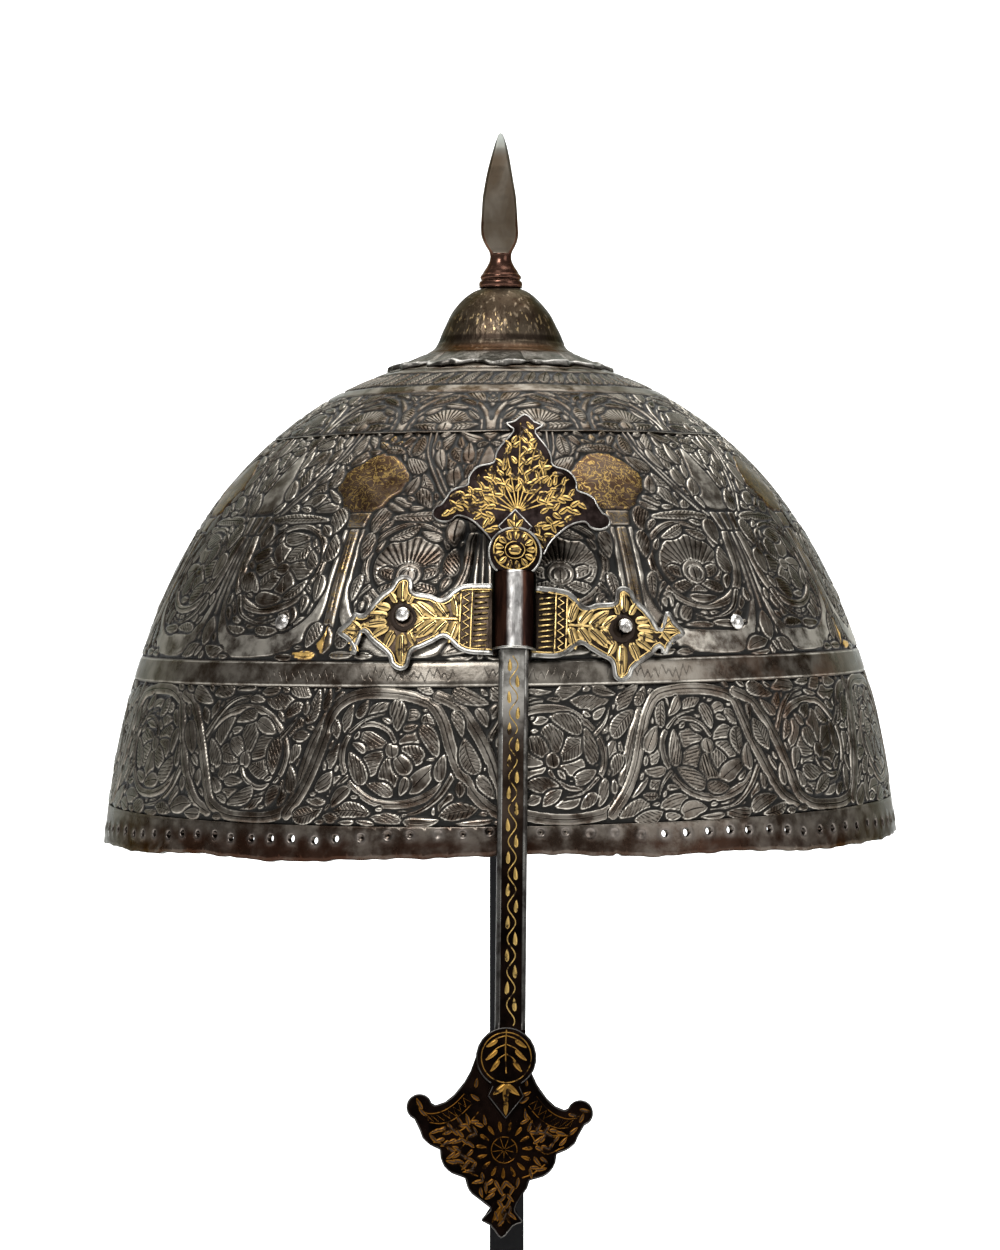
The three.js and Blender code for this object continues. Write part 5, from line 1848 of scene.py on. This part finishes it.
def loop_steel():
    p = Paint("loop_steel")
    across = p.math("ABSOLUTE", p.math("SUBTRACT", p.attribute("across"), 0.5))
    speck = p.noise(260, 4, 0.65, 0.2, (1.4, 1, 0.7))
    streak = p.noise(300, 3, 0.6, 0.1, (1.6, 1, 0.12))
    # Painted highlight: a bright speckled strip down the middle of the half-round, standing for its
    # reflection.
    centre_highlight = p.times(p.remap(across, 0.03, 0.12, 1, 0), p.remap(speck, 0.36, 0.6, 0.45, 1.0))
    centre_highlight = p.times(centre_highlight, p.remap(streak, 0.38, 0.56, 0.5, 1.0))
    russet = p.shade(streak, 0.36, 0.62, (0.012, 0.006, 0.005), (0.040, 0.017, 0.011))
    # Painted shade: the flanks of the half-round go near black as they turn away; the streaked russet itself
    # is rust.
    russet = p.shade(across, 0.24, 0.34, russet, (0.006, 0.005, 0.0045))
    colour = p.mix(centre_highlight, russet, (0.85, 0.83, 0.80))
    return p.finish(colour, 1.0, 0.34, p.bump(speck, 0.3, 0.0005), Specular_Tint=DIM)


def bar_steel():
    """Worn bright under the loop, darker down the bar and nearly black at its lower end."""
    p = Paint("nasal_steel")
    _, _, z = p.axes()
    mottle = p.noise(130, 5, 0.65)
    fine = p.noise(800, 3, 0.6)
    black = p.shade(mottle, 0.35, 0.65, (0.003, 0.002, 0.0017), (0.0075, 0.004, 0.003))
    brown = p.shade(mottle, 0.35, 0.65, (0.022, 0.014, 0.010), (0.045, 0.032, 0.024))
    silver = p.shade(mottle, 0.35, 0.65, (0.15, 0.14, 0.125), (0.44, 0.425, 0.39))
    colour = p.shade(z, 150 * MM, 166 * MM, black, brown)
    silvered = p.times(p.remap(z, 178 * MM, 198 * MM), p.remap(z, 214 * MM, 215 * MM, 1, 0))
    colour = p.mix(silvered, colour, silver)
    upper = p.remap(z, 216 * MM, 218 * MM)
    colour = p.mix(upper, colour, p.shade(mottle, 0.4, 0.6, (0.007, 0.0045, 0.004), (0.020, 0.014, 0.013)))
    tilt = p.bump(fine, 0.15, 0.0002, p.bump(mottle, 0.2, 0.0006))
    return p.finish(colour, 1.0, p.remap(mottle, 0.3, 0.7, 0.28, 0.42), tilt, Specular_Tint=DIM)


EDGE_ROUND = 0.25


def soften_edges(piece):
    """A fine rounded edge on a solid, which keeps its shape."""
    weld = piece.modifiers.new("weld", "WELD")
    weld.merge_threshold = 0.00001
    bevel = piece.modifiers.new("edges", "BEVEL")
    bevel.width = EDGE_ROUND * MM
    bevel.segments = 2
    bevel.limit_method = "ANGLE"
    bevel.angle_limit = math.radians(38)


camera()
stage()
lights()
skull(bowl_steel())
cap(cap_steel())
spike(spike_steel())
bright_gold = gold_leaf("bright_gold", (0.44, 0.31, 0.125), (0.03, 0.02, 0.012), 0.42)
vine_gold = gold_leaf("vine_gold", (0.36, 0.24, 0.078), (0.025, 0.016, 0.01), 0.45)
old_gold = gold_leaf("old_gold", (0.080, 0.034, 0.005), (0.007, 0.0035, 0.0015), 0.46)
cut, bright = dark_cut(), bright_steel()
bracket_inlay(bright_gold, cut, bright, loop_steel())
low_gold = gold_leaf("low_gold", (0.165, 0.088, 0.019), (0.012, 0.007, 0.004), 0.44)
nasal_inlay(vine_gold, low_gold, old_gold, cut, bright)
plate = simple_steel("gilded_steel", (0.010, 0.007, 0.005), (0.028, 0.020, 0.015))
dress(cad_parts["nasal_bracket"], plate, "root")
dress(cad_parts["nasal"], bar_steel(), "root")
soften_edges(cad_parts["nasal_bracket"])
rivet_steel = simple_steel("rivet_steel", (0.10, 0.09, 0.08), (0.75, 0.73, 0.70), (0.2, 0.36), 260, 0.5)
for node in ("bracket_rivet_left", "bracket_rivet_right", "side_rivet_left", "side_rivet_right"):
    head = dress(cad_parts[node], rivet_steel, "root")
    head.modifiers.new("weld", "WELD").merge_threshold = 0.00001
    head.modifiers.new("rounded", "SUBSURF").render_levels = 2
dress(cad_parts["stand"], black_paint(), "root")
